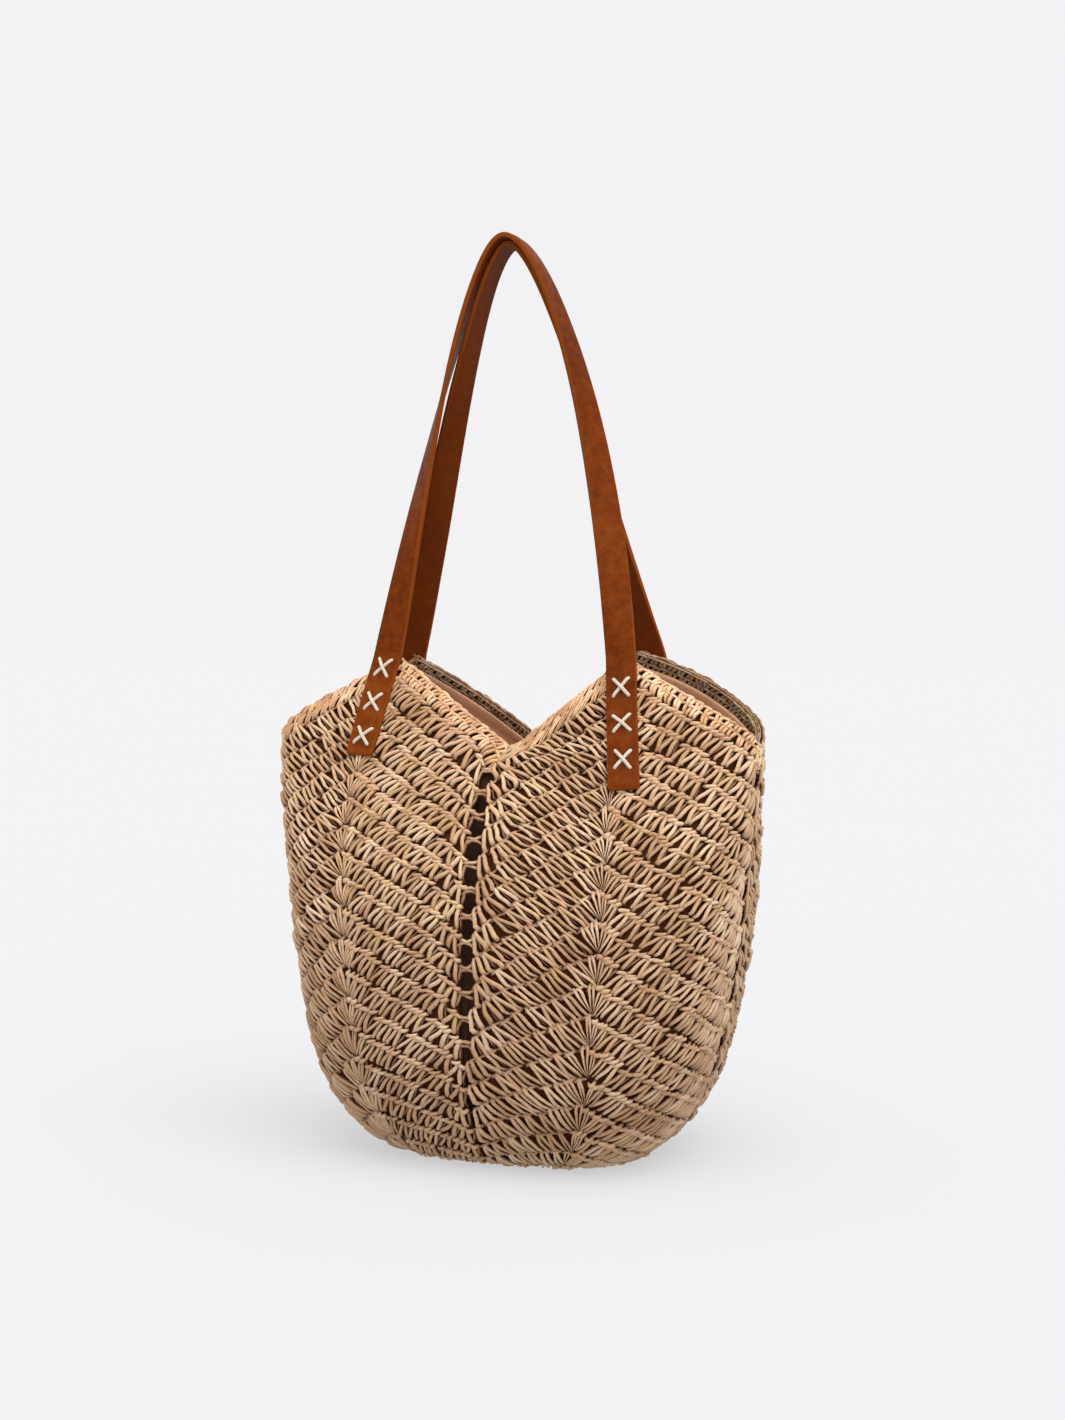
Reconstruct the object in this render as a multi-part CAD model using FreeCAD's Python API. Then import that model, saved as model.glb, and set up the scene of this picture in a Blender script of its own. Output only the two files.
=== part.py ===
"""Crocheted straw tote with four pointed petals, a fabric lining and two leather handles.

Millimetres. +Z is up, +X is to the bag's right, -Y is the front. The origin is the middle of
the flat bottom, where the bag stands.
"""
import FreeCAD
import Part
import math
import os

# Body of the bag: half width and half depth of the outer crochet at a few heights
BODY_LEVELS = (0.0, 90.0, 180.0, 260.0, 335.0)
HALF_WIDTHS = (120.0, 143.0, 158.0, 169.0, 175.0)
HALF_DEPTHS = (90.0, 106.0, 96.0, 54.0, 20.0)
SQUARENESS = 2.8           # exponent of the rounded-rectangle plan
FOOT_ROUND = 75.0          # height over which the wall turns in to the flat bottom
FOOT_ROUND_POWER = 2.2
FOOT_SHRINK = 0.42         # how much of the foot's half size the rounding takes away
BODY_TOP = 334.0
FOOT_RISES = (0.0, 3.0, 9.0, 20.0, 38.0)                            # outlines above the flat bottom
WALL_HEIGHTS = (75.0, 120.0, 165.0, 210.0, 255.0, 300.0, BODY_TOP)  # and up the wall

# Zigzag rim
VALLEY_HEIGHT = 272.0
TIP_HEIGHT = 326.0
TIP_X = 82.0
SIDE_X = 171.0

# Crochet
WALL = 5.0
BASE_TOP = 22.0
EDGING_HEIGHT = 13.0
LADDER_WIDTH = 7.0
RUNG_PITCH = 17.0
RUNG_RADIUS = 1.3
RUNG_FIRST = 36.0

# Lining
LINING_GAP = 0.6
LINING_CLOTH = 1.2
LINING_DROP = 9.0          # rim down to the lining's top hem
LINING_BASE_TOP = 30.0

# Leather handles
STRAP_WIDTH = 20.5
STRAP_THICK = 3.4
HANDLE_RISE = 279.0        # rim tip up to the top of the handle's arch
SEW_GAP = 1.0
TAB_SPREAD = 0.14          # sideways run of a sewn end for each unit of drop
BACK_SPREAD = 5.0          # how much further apart the back handle's ends are sewn
TAB_DROPS = {"front_left": 66.0, "front_right": 85.0, "back_left": 80.0, "back_right": 70.0}
STITCH_STARTS = {"front_left": 9.0, "front_right": 21.0, "back_left": 19.0, "back_right": 12.0}
STITCH_PITCH = 22.5
STITCH_SPAN = 12.0
THREAD_RADIUS = 0.9
SPLIT_GAP = 0.6            # sewn end to free strap, where the leather bends
TWIST_POWER = 4.6          # how early the straps turn from facing out to facing up
ARCH_POWER = 1.7           # 2 is a parabola, less is more pointed
CLOSING_POWER = 4.0        # how early the two handles come together
TOP_LEAN = -5.0            # sideways place of the top of both arches
TOP_GAP = 1.2              # between the two handles where they meet

SMALL = 0.2
FAR = 400.0
PETALS = {"front_left": (-1, -1), "front_right": (1, -1), "back_left": (-1, 1), "back_right": (1, 1)}

os.makedirs("parts", exist_ok=True)


def save(name, shape):
    """Write one sub-part under its node's name."""
    shape.exportStep("parts/" + name + ".step")


def level_curve(values, height):
    """Smooth value at a height, by a cubic through the body levels (Catmull-Rom)."""
    last = len(BODY_LEVELS) - 1
    height = min(max(height, BODY_LEVELS[0]), BODY_LEVELS[-1])
    k = max(i for i in range(last) if BODY_LEVELS[i] <= height)
    z0, z1 = BODY_LEVELS[k], BODY_LEVELS[k + 1]
    slope = []
    for i in (k, k + 1):
        lo, hi = max(i - 1, 0), min(i + 1, last)
        slope.append((values[hi] - values[lo]) / (BODY_LEVELS[hi] - BODY_LEVELS[lo]))
    u = (height - z0) / (z1 - z0)
    rise = z1 - z0
    return (values[k] * (2 * u ** 3 - 3 * u ** 2 + 1) + values[k + 1] * (3 * u ** 2 - 2 * u ** 3)
            + rise * (slope[0] * (u ** 3 - 2 * u ** 2 + u) + slope[1] * (u ** 3 - u ** 2)))


def foot_pull(height):
    """Share of the foot's half size that the rounded foot takes away at a height."""
    k = 1.0 - min(max(height / FOOT_ROUND, 0.0), 1.0)
    return FOOT_SHRINK * (1.0 - (1.0 - k ** FOOT_ROUND_POWER) ** (1.0 / FOOT_ROUND_POWER))


def half_sizes(height, inset=0.0):
    """Half width and half depth of the body, drawn in by an inset."""
    pull = foot_pull(height - inset)
    half_w = level_curve(HALF_WIDTHS, height) - HALF_WIDTHS[0] * pull - inset
    half_d = level_curve(HALF_DEPTHS, height) - HALF_DEPTHS[0] * pull - inset
    return half_w, half_d


def plan_wire(height, inset):
    """Closed rounded-rectangle outline of the body at one height."""
    half_w, half_d = half_sizes(height, inset)
    steps = 32
    points = []
    for i in range(steps):
        angle = 2.0 * math.pi * (i + 0.5) / steps
        c, s = math.cos(angle), math.sin(angle)
        x = half_w * math.copysign(abs(c) ** (2.0 / SQUARENESS), c)
        y = half_d * math.copysign(abs(s) ** (2.0 / SQUARENESS), s)
        points.append(FreeCAD.Vector(x, y, height))
    curve = Part.BSplineCurve()
    curve.interpolate(Points=points, PeriodicFlag=True)
    return Part.Wire([curve.toShape()])


def body_solid(inset):
    """Closed solid bounded by the body's surface moved inwards by an inset."""
    heights = [inset + rise for rise in FOOT_RISES] + list(WALL_HEIGHTS)
    return Part.makeLoft([plan_wire(z, inset) for z in heights], True, False)


def box(x0, x1, y0, y1, z0, z1):
    return Part.makeBox(x1 - x0, y1 - y0, z1 - z0, FreeCAD.Vector(x0, y0, z0))


def under_rim(drop):
    """Everything below the zigzag rim line lowered by a drop."""
    outline = [(-FAR, -SMALL), (-FAR, VALLEY_HEIGHT), (-SIDE_X, VALLEY_HEIGHT), (-TIP_X, TIP_HEIGHT),
               (0.0, VALLEY_HEIGHT), (TIP_X, TIP_HEIGHT), (SIDE_X, VALLEY_HEIGHT), (FAR, VALLEY_HEIGHT),
               (FAR, -SMALL)]
    points = [FreeCAD.Vector(x, -FAR, z - drop if z > 0 else z) for x, z in outline]
    face = Part.Face(Part.makePolygon(points + points[:1]))
    return face.extrude(FreeCAD.Vector(0, 2 * FAR, 0))


def quarter(side, depth, x_gap, y_gap, z0):
    """The quarter of space that holds one petal, clear of the valleys beside it."""
    xs = sorted((side * x_gap, side * FAR))
    ys = sorted((depth * y_gap, depth * FAR))
    return box(xs[0], xs[1], ys[0], ys[1], z0, FAR)


def surface_depth(x, height):
    """Distance of the outer crochet from the middle plane, at a place on the front or back."""
    half_w, half_d = half_sizes(height)
    return half_d * (1.0 - min(abs(x) / half_w, 1.0) ** SQUARENESS) ** (1.0 / SQUARENESS)


def handle_reach(depth):
    """Distance of a handle's ends from the bag's middle, at the rim."""
    return TIP_X + (BACK_SPREAD if depth > 0 else 0.0)


def frame_on_wall(side, depth, drop, lift):
    """Point and directions on a petal's outer face, down its peak line from the tip."""
    x = side * (handle_reach(depth) + TAB_SPREAD * drop)
    z = TIP_HEIGHT - drop
    point = FreeCAD.Vector(x, depth * surface_depth(x, z), z)
    step = 1.0
    lower = FreeCAD.Vector(side * (handle_reach(depth) + TAB_SPREAD * (drop + step)), 0, z - step)
    lower.y = depth * surface_depth(lower.x, lower.z)
    beside = FreeCAD.Vector(x + step, depth * surface_depth(x + step, z), z)
    down = (lower - point).normalize()
    across = (beside - point).normalize()
    across = (across - down * across.dot(down)).normalize()
    out = down.cross(across).normalize()
    if out.y * depth < 0:
        out = out * -1.0
    return point + out * lift, down, across, out


def strap_section(centre, across, out):
    """Rectangle of leather, its width along one direction and its thickness along another."""
    w = across * (STRAP_WIDTH / 2)
    t = out * (STRAP_THICK / 2)
    corners = [centre - w - t, centre + w - t, centre + w + t, centre - w + t]
    return Part.makePolygon(corners + corners[:1])


def sewn_end(side, depth, length):
    """Flat leather end that lies on the petal from its tip downwards, cut level at the tip."""
    above = 4.0
    stations = 8
    sections = []
    for i in range(stations):
        drop = -above + (length + above) * i / (stations - 1)
        centre, _, across, out = frame_on_wall(side, depth, drop, SEW_GAP + STRAP_THICK / 2)
        sections.append(strap_section(centre, across, out))
    strip = Part.makeLoft(sections, True, True)
    return strip.common(box(-FAR, FAR, -FAR, FAR, 0.0, TIP_HEIGHT))


def strap_foot_depth():
    """Distance of the strap's middle from the middle plane, where it leaves the rim."""
    _, _, _, out = frame_on_wall(1, -1, 0.0, 0.0)
    return surface_depth(TIP_X, TIP_HEIGHT) + (SEW_GAP + STRAP_THICK / 2) / abs(out.y)


def arch_point(share, side, depth):
    """Centre of the free strap; share runs from 0 at the rim to 1 at the top of the arch."""
    top_depth = (STRAP_WIDTH + TOP_GAP) / 2
    x = side * handle_reach(depth) * (1.0 - share) + TOP_LEAN * share ** 2
    y = depth * (top_depth + (strap_foot_depth() - top_depth) * (1.0 - share) ** CLOSING_POWER)
    z = TIP_HEIGHT + SPLIT_GAP + HANDLE_RISE * (1.0 - (1.0 - share) ** ARCH_POWER)
    return FreeCAD.Vector(x, y, z)


def strap_station(position, depth):
    """Cross-section of the free strap; position runs from -1 at the left rim to 1 at the right rim."""
    side = -1 if position < 0 else 1
    crowd = 0.35
    share = 1.0 - abs(position) * (crowd + (1.0 - crowd) * abs(position))
    centre = arch_point(share, side, depth)
    if share == 0.0:
        return strap_section(centre, FreeCAD.Vector(1, 0, 0), FreeCAD.Vector(0, -1, 0))
    reach = 0.01
    lower = arch_point(max(share - reach, 0.0), side, depth)
    upper = arch_point(min(share + reach, 1.0), side, depth)
    along = (upper - lower).normalize() * -side
    if share == 1.0:
        along = FreeCAD.Vector(1, 0, 0)
    turn = math.pi / 2 * (1.0 - (1.0 - share) ** TWIST_POWER)
    facing = FreeCAD.Vector(0, -1, 0)
    facing = (facing - along * facing.dot(along)).normalize()
    crown = along.cross(facing)
    out = facing * math.cos(turn) + crown * (math.sin(turn) * depth)
    return strap_section(centre, out.cross(along), out)


def free_strap(depth):
    """Handle strap from rim to rim: an arch whose flat side turns from facing out to facing up."""
    half_stations = 20
    positions = [i / half_stations for i in range(-half_stations, half_stations + 1)]
    return Part.makeLoft([strap_station(p, depth) for p in positions], True, True)


def cross_stitches(side, depth, first_drop):
    """Three crosses of thick thread, sewn through one leather end."""
    crosses = []
    for i in range(3):
        lift = SEW_GAP + STRAP_THICK + THREAD_RADIUS + SMALL
        centre, down, across, _ = frame_on_wall(side, depth, first_drop + i * STITCH_PITCH, lift)
        legs = []
        for lean in (-1, 1):
            run = (down + across * lean).normalize() * STITCH_SPAN
            legs.append(Part.makeCylinder(THREAD_RADIUS, STITCH_SPAN, centre - run * 0.5, run))
        crosses.append(legs[0].fuse(legs[1]))
    return Part.makeCompound(crosses)


def rungs(place):
    """Single strands that bridge one valley between two petals."""
    bars = []
    count = int((VALLEY_HEIGHT - EDGING_HEIGHT - RUNG_FIRST) / RUNG_PITCH)
    for i in range(count + 1):
        z = RUNG_FIRST + i * RUNG_PITCH
        half_w, half_d = half_sizes(z)
        length = LADDER_WIDTH - 2 * SMALL
        if place in ("front", "back"):
            y = (half_d - WALL / 2) * (-1 if place == "front" else 1)
            start, run = FreeCAD.Vector(-length / 2, y, z), FreeCAD.Vector(1, 0, 0)
        else:
            x = (half_w - WALL / 2) * (-1 if place == "left" else 1)
            start, run = FreeCAD.Vector(x, -length / 2, z), FreeCAD.Vector(0, 1, 0)
        bars.append(Part.makeCylinder(RUNG_RADIUS, length, start, run))
    return Part.makeCompound(bars)


# Crochet: one shell, shared out between the base, the petals and the edging rows
shell = body_solid(0.0).cut(body_solid(WALL))
wall = shell.common(under_rim(EDGING_HEIGHT + SMALL))
edge_band = shell.common(under_rim(0.0)).cut(under_rim(EDGING_HEIGHT))
save("crochet_base", shell.common(box(-FAR, FAR, -FAR, FAR, -1.0, BASE_TOP)))
for petal, (side, depth) in PETALS.items():
    half = LADDER_WIDTH / 2
    save(petal + "_petal", wall.common(quarter(side, depth, half, half, BASE_TOP + SMALL)))
    save(petal + "_edging", edge_band.common(quarter(side, depth, SMALL / 2, SMALL / 2, 0.0)))
for place in ("front", "right", "back", "left"):
    save(place + "_ladder", rungs(place))

# Lining: a bottom and two panels that hang inside the crochet from below the rim
outer_inset = WALL + LINING_GAP
lining = body_solid(outer_inset).cut(body_solid(outer_inset + LINING_CLOTH)).common(under_rim(LINING_DROP))
save("lining_bottom", lining.common(box(-FAR, FAR, -FAR, FAR, 0.0, LINING_BASE_TOP)))
save("lining_front", lining.common(box(-FAR, FAR, -FAR, -SMALL / 2, LINING_BASE_TOP + SMALL, FAR)))
save("lining_back", lining.common(box(-FAR, FAR, SMALL / 2, FAR, LINING_BASE_TOP + SMALL, FAR)))

# Handles: sewn ends on the bag, and one free strap for the front pair and one for the back pair
for petal, (side, depth) in PETALS.items():
    save(petal + "_handle_end", sewn_end(side, depth, TAB_DROPS[petal]))
    save(petal + "_cross_stitches", cross_stitches(side, depth, STITCH_STARTS[petal]))
save("front_handle_strap", free_strap(-1))
save("back_handle_strap", free_strap(1))
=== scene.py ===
"""Crocheted straw beach bag with leather handles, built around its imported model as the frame."""
import math

import bmesh
import bpy
import numpy as np
from bpy.props import FloatProperty, FloatVectorProperty, IntProperty, PointerProperty
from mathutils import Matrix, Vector


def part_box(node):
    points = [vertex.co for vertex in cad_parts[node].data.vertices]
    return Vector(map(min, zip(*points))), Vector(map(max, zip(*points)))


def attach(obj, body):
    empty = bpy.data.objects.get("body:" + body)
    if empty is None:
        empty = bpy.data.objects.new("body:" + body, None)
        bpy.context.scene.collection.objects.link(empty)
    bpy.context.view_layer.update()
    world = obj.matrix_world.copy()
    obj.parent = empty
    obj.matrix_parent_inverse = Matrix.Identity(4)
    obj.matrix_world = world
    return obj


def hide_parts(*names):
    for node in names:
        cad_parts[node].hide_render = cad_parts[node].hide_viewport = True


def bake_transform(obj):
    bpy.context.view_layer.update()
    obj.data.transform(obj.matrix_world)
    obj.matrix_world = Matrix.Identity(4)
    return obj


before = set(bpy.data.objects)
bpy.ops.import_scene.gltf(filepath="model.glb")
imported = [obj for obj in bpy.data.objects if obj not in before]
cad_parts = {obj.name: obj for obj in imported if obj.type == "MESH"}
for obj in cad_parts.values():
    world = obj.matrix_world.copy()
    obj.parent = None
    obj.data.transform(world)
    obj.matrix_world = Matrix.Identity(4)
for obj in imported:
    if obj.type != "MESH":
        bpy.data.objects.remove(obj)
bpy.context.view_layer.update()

bl_info = {
    "name": "Straw Beach Bag",
    "version": (1, 0, 0),
    "blender": (4, 5, 0),
    "location": "3D View > Sidebar > Beach Bag",
    "description": "Makes a crocheted straw bag with petals, ladders, lining and leather handles",
    "category": "Add Mesh",
}

TIP_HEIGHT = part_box("front_left_edging")[1].z

# Body of the bag, in metres: half width and half depth of the outer face at a few heights
LEVELS = np.array([0.0, 0.090, 0.180, 0.260, 0.335])
HALF_WIDTHS = np.array([0.120, 0.143, 0.158, 0.169, 0.175])
HALF_DEPTHS = np.array([0.090, 0.106, 0.096, 0.054, 0.020])
SQUARENESS = 2.8
FOOT_ROUND = 0.075
FOOT_POWER = 2.2
FOOT_SHRINK = 0.42
BODY_TOP = 0.334
# Heights of the zigzag rim at the meridians from the front valley round, and how far it bulges between them
RIM_HEIGHTS = (0.267, TIP_HEIGHT, 0.268, TIP_HEIGHT + 0.004, 0.272, TIP_HEIGHT, 0.263,
               TIP_HEIGHT - 0.001, 0.267)
RIM_BULGES = (0.001, 0.001, 0.010, 0.002, 0.003, 0.003, 0.003, 0.001)
# Sideways run of the same meridians about one height, within a reach of it
SKEWS = (-0.002, 0.0, 0.0, 0.0, 0.0, 0.0, 0.0, -0.009, -0.002)
SKEW_HEIGHT = 0.245
SKEW_REACH = 0.052
# Their further run at the rim, which sets in between two heights
RIM_SKEWS = (0.0175, 0.003, 0.0, 0.0, 0.0, 0.0, 0.0, 0.007, 0.0175)
RIM_SKEW_HEIGHTS = (0.254, 0.272)
# The soft mouth stands to the left of the bottom, from one height to another
MOUTH_LEAN = -0.005
LEAN_HEIGHTS = (0.10, 0.30)

# Layers of the wall: depths below the outer face, and drops below the rim
EDGING_INSET = 0.0038
CORE_DEPTH = 0.0009
EDGING_CORE_DEPTH = 0.0008
CORE_MARGIN = 0.06           # the petals' wall keeps this share of a petal's half clear of each valley
EDGING_HEIGHT = 0.013
EDGING_DROPS = (EDGING_HEIGHT, EDGING_HEIGHT * 0.52, 0.0016)
EDGING_CORE_DROPS = (0.0145, 0.0022)
CHAIN_DROP = 0.0026
CHAIN_OVERHANG = 0.12        # share of the rim's thickness
LINING_DROP = 0.009
LINING_FLOOR = 0.42          # share of the way up at which the lining's bottom ends
HEM_SHARE = 0.955            # where a panel's folded hem begins
HEM_STEP = 0.0007
GROUND_GAP = 0.0006          # strands lower than this are pressed flat
PRESSED_SHARE = 0.12

# Where each petal's middle line runs: its share of a quarter outline, low down and at the rim
PEAK_SHARES = ((0.10, 0.393), (0.33, 0.454))
PETALS = {"front_right": 1, "back_right": 3, "back_left": 5, "front_left": 7}
VALLEYS = {"front": 0, "right": 2, "back": 4, "left": 6}
BASE_ROWS = 7
LADDER_FOOT_ROW = 9          # the valleys are closed up to this row

# The stitches' lean fades over the last stretch of row before a valley, down to a share of itself
LEAN_FADE = 0.020
VALLEY_LEAN = 0.30
RUNG_RISE = 0.002
CLOSED_SHARE = 0.05          # share of the ladder gap that is left where a valley is closed


# ---------------------------------------------------------------- shape of the body

def level_curve(values, height):
    """Smooth value at some heights, by a cubic through the body levels."""
    z = np.clip(np.asarray(height, float), LEVELS[0], LEVELS[-1])
    k = np.clip(np.searchsorted(LEVELS, z, side="right") - 1, 0, len(LEVELS) - 2)
    slopes = np.array([(values[min(i + 1, 4)] - values[max(i - 1, 0)])
                       / (LEVELS[min(i + 1, 4)] - LEVELS[max(i - 1, 0)]) for i in range(5)])
    rise = LEVELS[k + 1] - LEVELS[k]
    u = (z - LEVELS[k]) / rise
    return (values[k] * (2 * u ** 3 - 3 * u ** 2 + 1) + values[k + 1] * (3 * u ** 2 - 2 * u ** 3)
            + rise * (slopes[k] * (u ** 3 - 2 * u ** 2 + u) + slopes[k + 1] * (u ** 3 - u ** 2)))


def half_sizes(height, inset=0.0):
    """Half width and half depth of the body at a height, drawn in by an inset."""
    k = 1.0 - np.clip((np.asarray(height, float) - inset) / FOOT_ROUND, 0.0, 1.0)
    pull = FOOT_SHRINK * (1.0 - (1.0 - k ** FOOT_POWER) ** (1.0 / FOOT_POWER))
    half_w = level_curve(HALF_WIDTHS, height) - HALF_WIDTHS[0] * pull - inset
    half_d = level_curve(HALF_DEPTHS, height) - HALF_DEPTHS[0] * pull - inset
    return half_w, half_d


def eased(value, low, high):
    """0 up to a low value and 1 from a high one on, with a smooth step between."""
    part = np.clip((np.asarray(value, float) - low) / (high - low), 0.0, 1.0)
    return part * part * (3.0 - 2.0 * part)


def mouth_lean(height):
    """How far the soft body stands to the left at a height."""
    return MOUTH_LEAN * eased(height, *LEAN_HEIGHTS)


def run_along(points):
    """Distance of each point from the first, along the line through them."""
    return np.concatenate([[0.0], np.cumsum(np.linalg.norm(np.diff(points, axis=0), axis=1))])


def rim_height(meridian):
    """Height of the zigzag rim at some meridians."""
    q = np.mod(meridian, 8.0)
    half = np.minimum(np.floor(q).astype(int), 7)
    return np.interp(q, np.arange(9), RIM_HEIGHTS) + np.array(RIM_BULGES)[half] * np.sin(math.pi * (q - half))


def peakness(meridian):
    """0 in a valley and 1 on a petal's middle line."""
    return 1.0 - np.abs(np.mod(meridian, 2.0) - 1.0)


class BodySurface:
    """One face of the bag's wall. A place on it is a meridian, from 0 at the front valley round to 8,
    and a share of the way up that meridian, from the middle of the bottom to the top."""

    STEPS = 24
    UP = 180

    def __init__(self, inset, dent=0.0035, swell=0.0028):
        self.meridians = np.linspace(0.0, 8.0, 8 * self.STEPS + 1)
        rings = self.even(self.rings(inset))
        normals = self.normals(rings)
        rings = rings + normals * self.unevenness(dent, swell)[..., None]
        rings[..., 2] = np.maximum(rings[..., 2], inset)
        self.points = self.even(rings)
        self.normal_grid = self.normals(self.points)
        self.lengths = np.linalg.norm(np.diff(self.points, axis=1), axis=2).sum(axis=1)

    def rings(self, inset):
        """Raw rings: the flat bottom from its middle outwards, then outlines up to the top."""
        foot_rings = 14
        wall_rings = 110
        turn = np.linspace(0.0, 2.0 * math.pi, 1441)
        stack = []
        for i in range(foot_rings + wall_rings):
            share = min(1.0, (i + 0.02) / foot_rings)
            rise = max(0.0, (i + 1 - foot_rings) / wall_rings) ** 1.35
            z = inset + (BODY_TOP - inset) * rise
            half_w, half_d = half_sizes(z, inset)
            s, c = np.sin(turn), np.cos(turn)
            x = share * half_w * np.sign(s) * np.abs(s) ** (2.0 / SQUARENESS)
            y = -share * half_d * np.sign(c) * np.abs(c) ** (2.0 / SQUARENESS)
            run = run_along(np.stack([x, y], axis=1))
            near = math.exp(-((z - SKEW_HEIGHT) / SKEW_REACH) ** 4)
            skew = (np.interp(self.meridians, np.arange(9), SKEWS) * near
                    + np.interp(self.meridians, np.arange(9), RIM_SKEWS) * eased(z, *RIM_SKEW_HEIGHTS))
            where = np.mod(self.outline_share(z) * run[-1] + skew, run[-1])
            ring_x = np.interp(where, run, x) + mouth_lean(z)
            ring_y = np.interp(where, run, y)
            stack.append(np.stack([ring_x, ring_y, np.full_like(where, z)], axis=1))
        return np.stack(stack, axis=1)

    def outline_share(self, z):
        """Share of the whole outline that lies before each meridian."""
        (low, low_share), (high, high_share) = PEAK_SHARES
        peak = np.interp(z, (low, high), (low_share, high_share))
        quarter = np.minimum(np.floor(self.meridians / 2.0), 3)
        rest = self.meridians - 2.0 * quarter
        peak = np.where(quarter % 2 == 0, peak, 1.0 - peak)
        inside = np.where(rest <= 1.0, peak * rest, peak + (1.0 - peak) * (rest - 1.0))
        return (quarter + inside) / 4.0

    def even(self, rings):
        """The same meridians with their points evenly spaced."""
        result = np.empty((rings.shape[0], self.UP + 1, 3))
        for i, line in enumerate(rings):
            run = run_along(line)
            where = np.linspace(0.0, run[-1], self.UP + 1)
            for axis in range(3):
                result[i, :, axis] = np.interp(where, run, line[:, axis])
        result[-1] = result[0]
        return result

    def normals(self, points):
        along = np.empty_like(points)
        along[1:-1] = points[2:] - points[:-2]
        along[0] = along[-1] = points[1] - points[-2]
        up = np.gradient(points, axis=1)
        cross = np.cross(along, up)
        size = np.linalg.norm(cross, axis=2, keepdims=True)
        cross = np.where(size > 1e-12, cross / np.maximum(size, 1e-12), np.array([0.0, 0.0, -1.0]))
        cross[:, :3] = (0.0, 0.0, -1.0)
        return cross

    def unevenness(self, dent, swell):
        """How far the soft wall stands in or out: creased valleys and slow swells."""
        q = self.meridians[:, None]
        t = np.linspace(0.0, 1.0, self.UP + 1)[None, :]
        window = np.clip((t - 0.22) / 0.2, 0.0, 1.0) * np.clip((1.03 - t) / 0.25, 0.15, 1.0)
        crease = -dent * np.exp(-(peakness(q) / 0.3) ** 2) * window
        angle = q * math.pi / 4.0
        waves = (np.sin(2 * angle + 1.1) * np.sin(5.2 * t + 0.4)
                 + 0.7 * np.sin(5 * angle + 2.6) * np.sin(9.0 * t)
                 + 0.45 * np.sin(9 * angle + 0.3) * np.sin(14.0 * t + 1.9))
        return crease + swell * 0.55 * waves * window

    def at(self, meridian, share, grid=None):
        """Points (or another grid's values) at meridians and shares of the way up."""
        grid = self.points if grid is None else grid
        q = np.mod(np.asarray(meridian, float), 8.0) * self.STEPS
        t = np.clip(np.asarray(share, float), 0.0, 1.0) * self.UP
        i = np.clip(np.floor(q).astype(int), 0, grid.shape[0] - 2)
        j = np.clip(np.floor(t).astype(int), 0, self.UP - 1)
        a, b = (q - i)[..., None], (t - j)[..., None]
        return ((grid[i, j] * (1 - a) + grid[i + 1, j] * a) * (1 - b)
                + (grid[i, j + 1] * (1 - a) + grid[i + 1, j + 1] * a) * b)

    def normal(self, meridian, share):
        n = self.at(meridian, share, self.normal_grid)
        return n / np.maximum(np.linalg.norm(n, axis=-1, keepdims=True), 1e-9)

    def under_rim(self, drop):
        """Share of the way up at a drop below the zigzag rim, for each meridian of the grid."""
        height = rim_height(self.meridians) - drop
        share = np.linspace(0.0, 1.0, self.UP + 1)
        found = [np.interp(z, line[:, 2], share) for z, line in zip(height, self.points)]
        return np.array(found)

    def line(self, shares):
        """A function that gives the share on one row line at any meridian."""
        return lambda meridian: np.interp(np.mod(meridian, 8.0), self.meridians, shares)

    def row_line(self, row, rows, drop):
        """Row line number row out of rows, which end at a drop below the rim."""
        part = row / rows
        warp = -0.12 + 0.20 * peakness(self.meridians)
        return self.line(self.under_rim(drop) * (part + warp * part * (1.0 - part)))


# ---------------------------------------------------------------- stitch cells

CELL_NAMES = ("c00", "c10", "c01", "c11", "nb", "nt")


class Cells:
    """Four-cornered places for stitches, with the wall's direction at their lower and upper edges."""

    def __init__(self):
        self.rows = []

    def add(self, lower_left, lower_right, upper_left, upper_right, lower_out, upper_out):
        parts = (lower_left, lower_right, upper_left, upper_right, lower_out, upper_out)
        self.rows.append(np.stack(parts, axis=1))

    def turn_last(self):
        """The row added last faces the other way."""
        self.rows[-1] = self.rows[-1][:, [1, 0, 3, 2, 4, 5]] * np.array([1, 1, 1, 1, -1, -1])[None, :, None]

    def points_object(self, name):
        """A mesh of loose points at the origin that carries the cells as attributes."""
        data = np.concatenate(self.rows)
        mesh = bpy.data.meshes.new(name)
        mesh.vertices.add(len(data))
        for i, label in enumerate(CELL_NAMES):
            attribute = mesh.attributes.new(label, "FLOAT_VECTOR", "POINT")
            attribute.data.foreach_set("vector", data[:, i].astype(np.float32).ravel())
        return placed(name, mesh)


def spaced_on_line(surface, peak, side, line, places):
    """Meridians and shares at distances along a row line, from a petal's middle line outwards."""
    f = np.linspace(0.0, 1.0, 65)
    q = peak + side * f
    run = run_along(surface.at(q, line(q)))
    q_at = peak + side * np.interp(places * run[-1], run, f)
    return q_at, line(q_at)


def line_length(surface, peak, side, line):
    """Length of a row line from a petal's middle line to the valley."""
    q = peak + side * np.linspace(0.0, 1.0, 65)
    return run_along(surface.at(q, line(q)))[-1]


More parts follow.
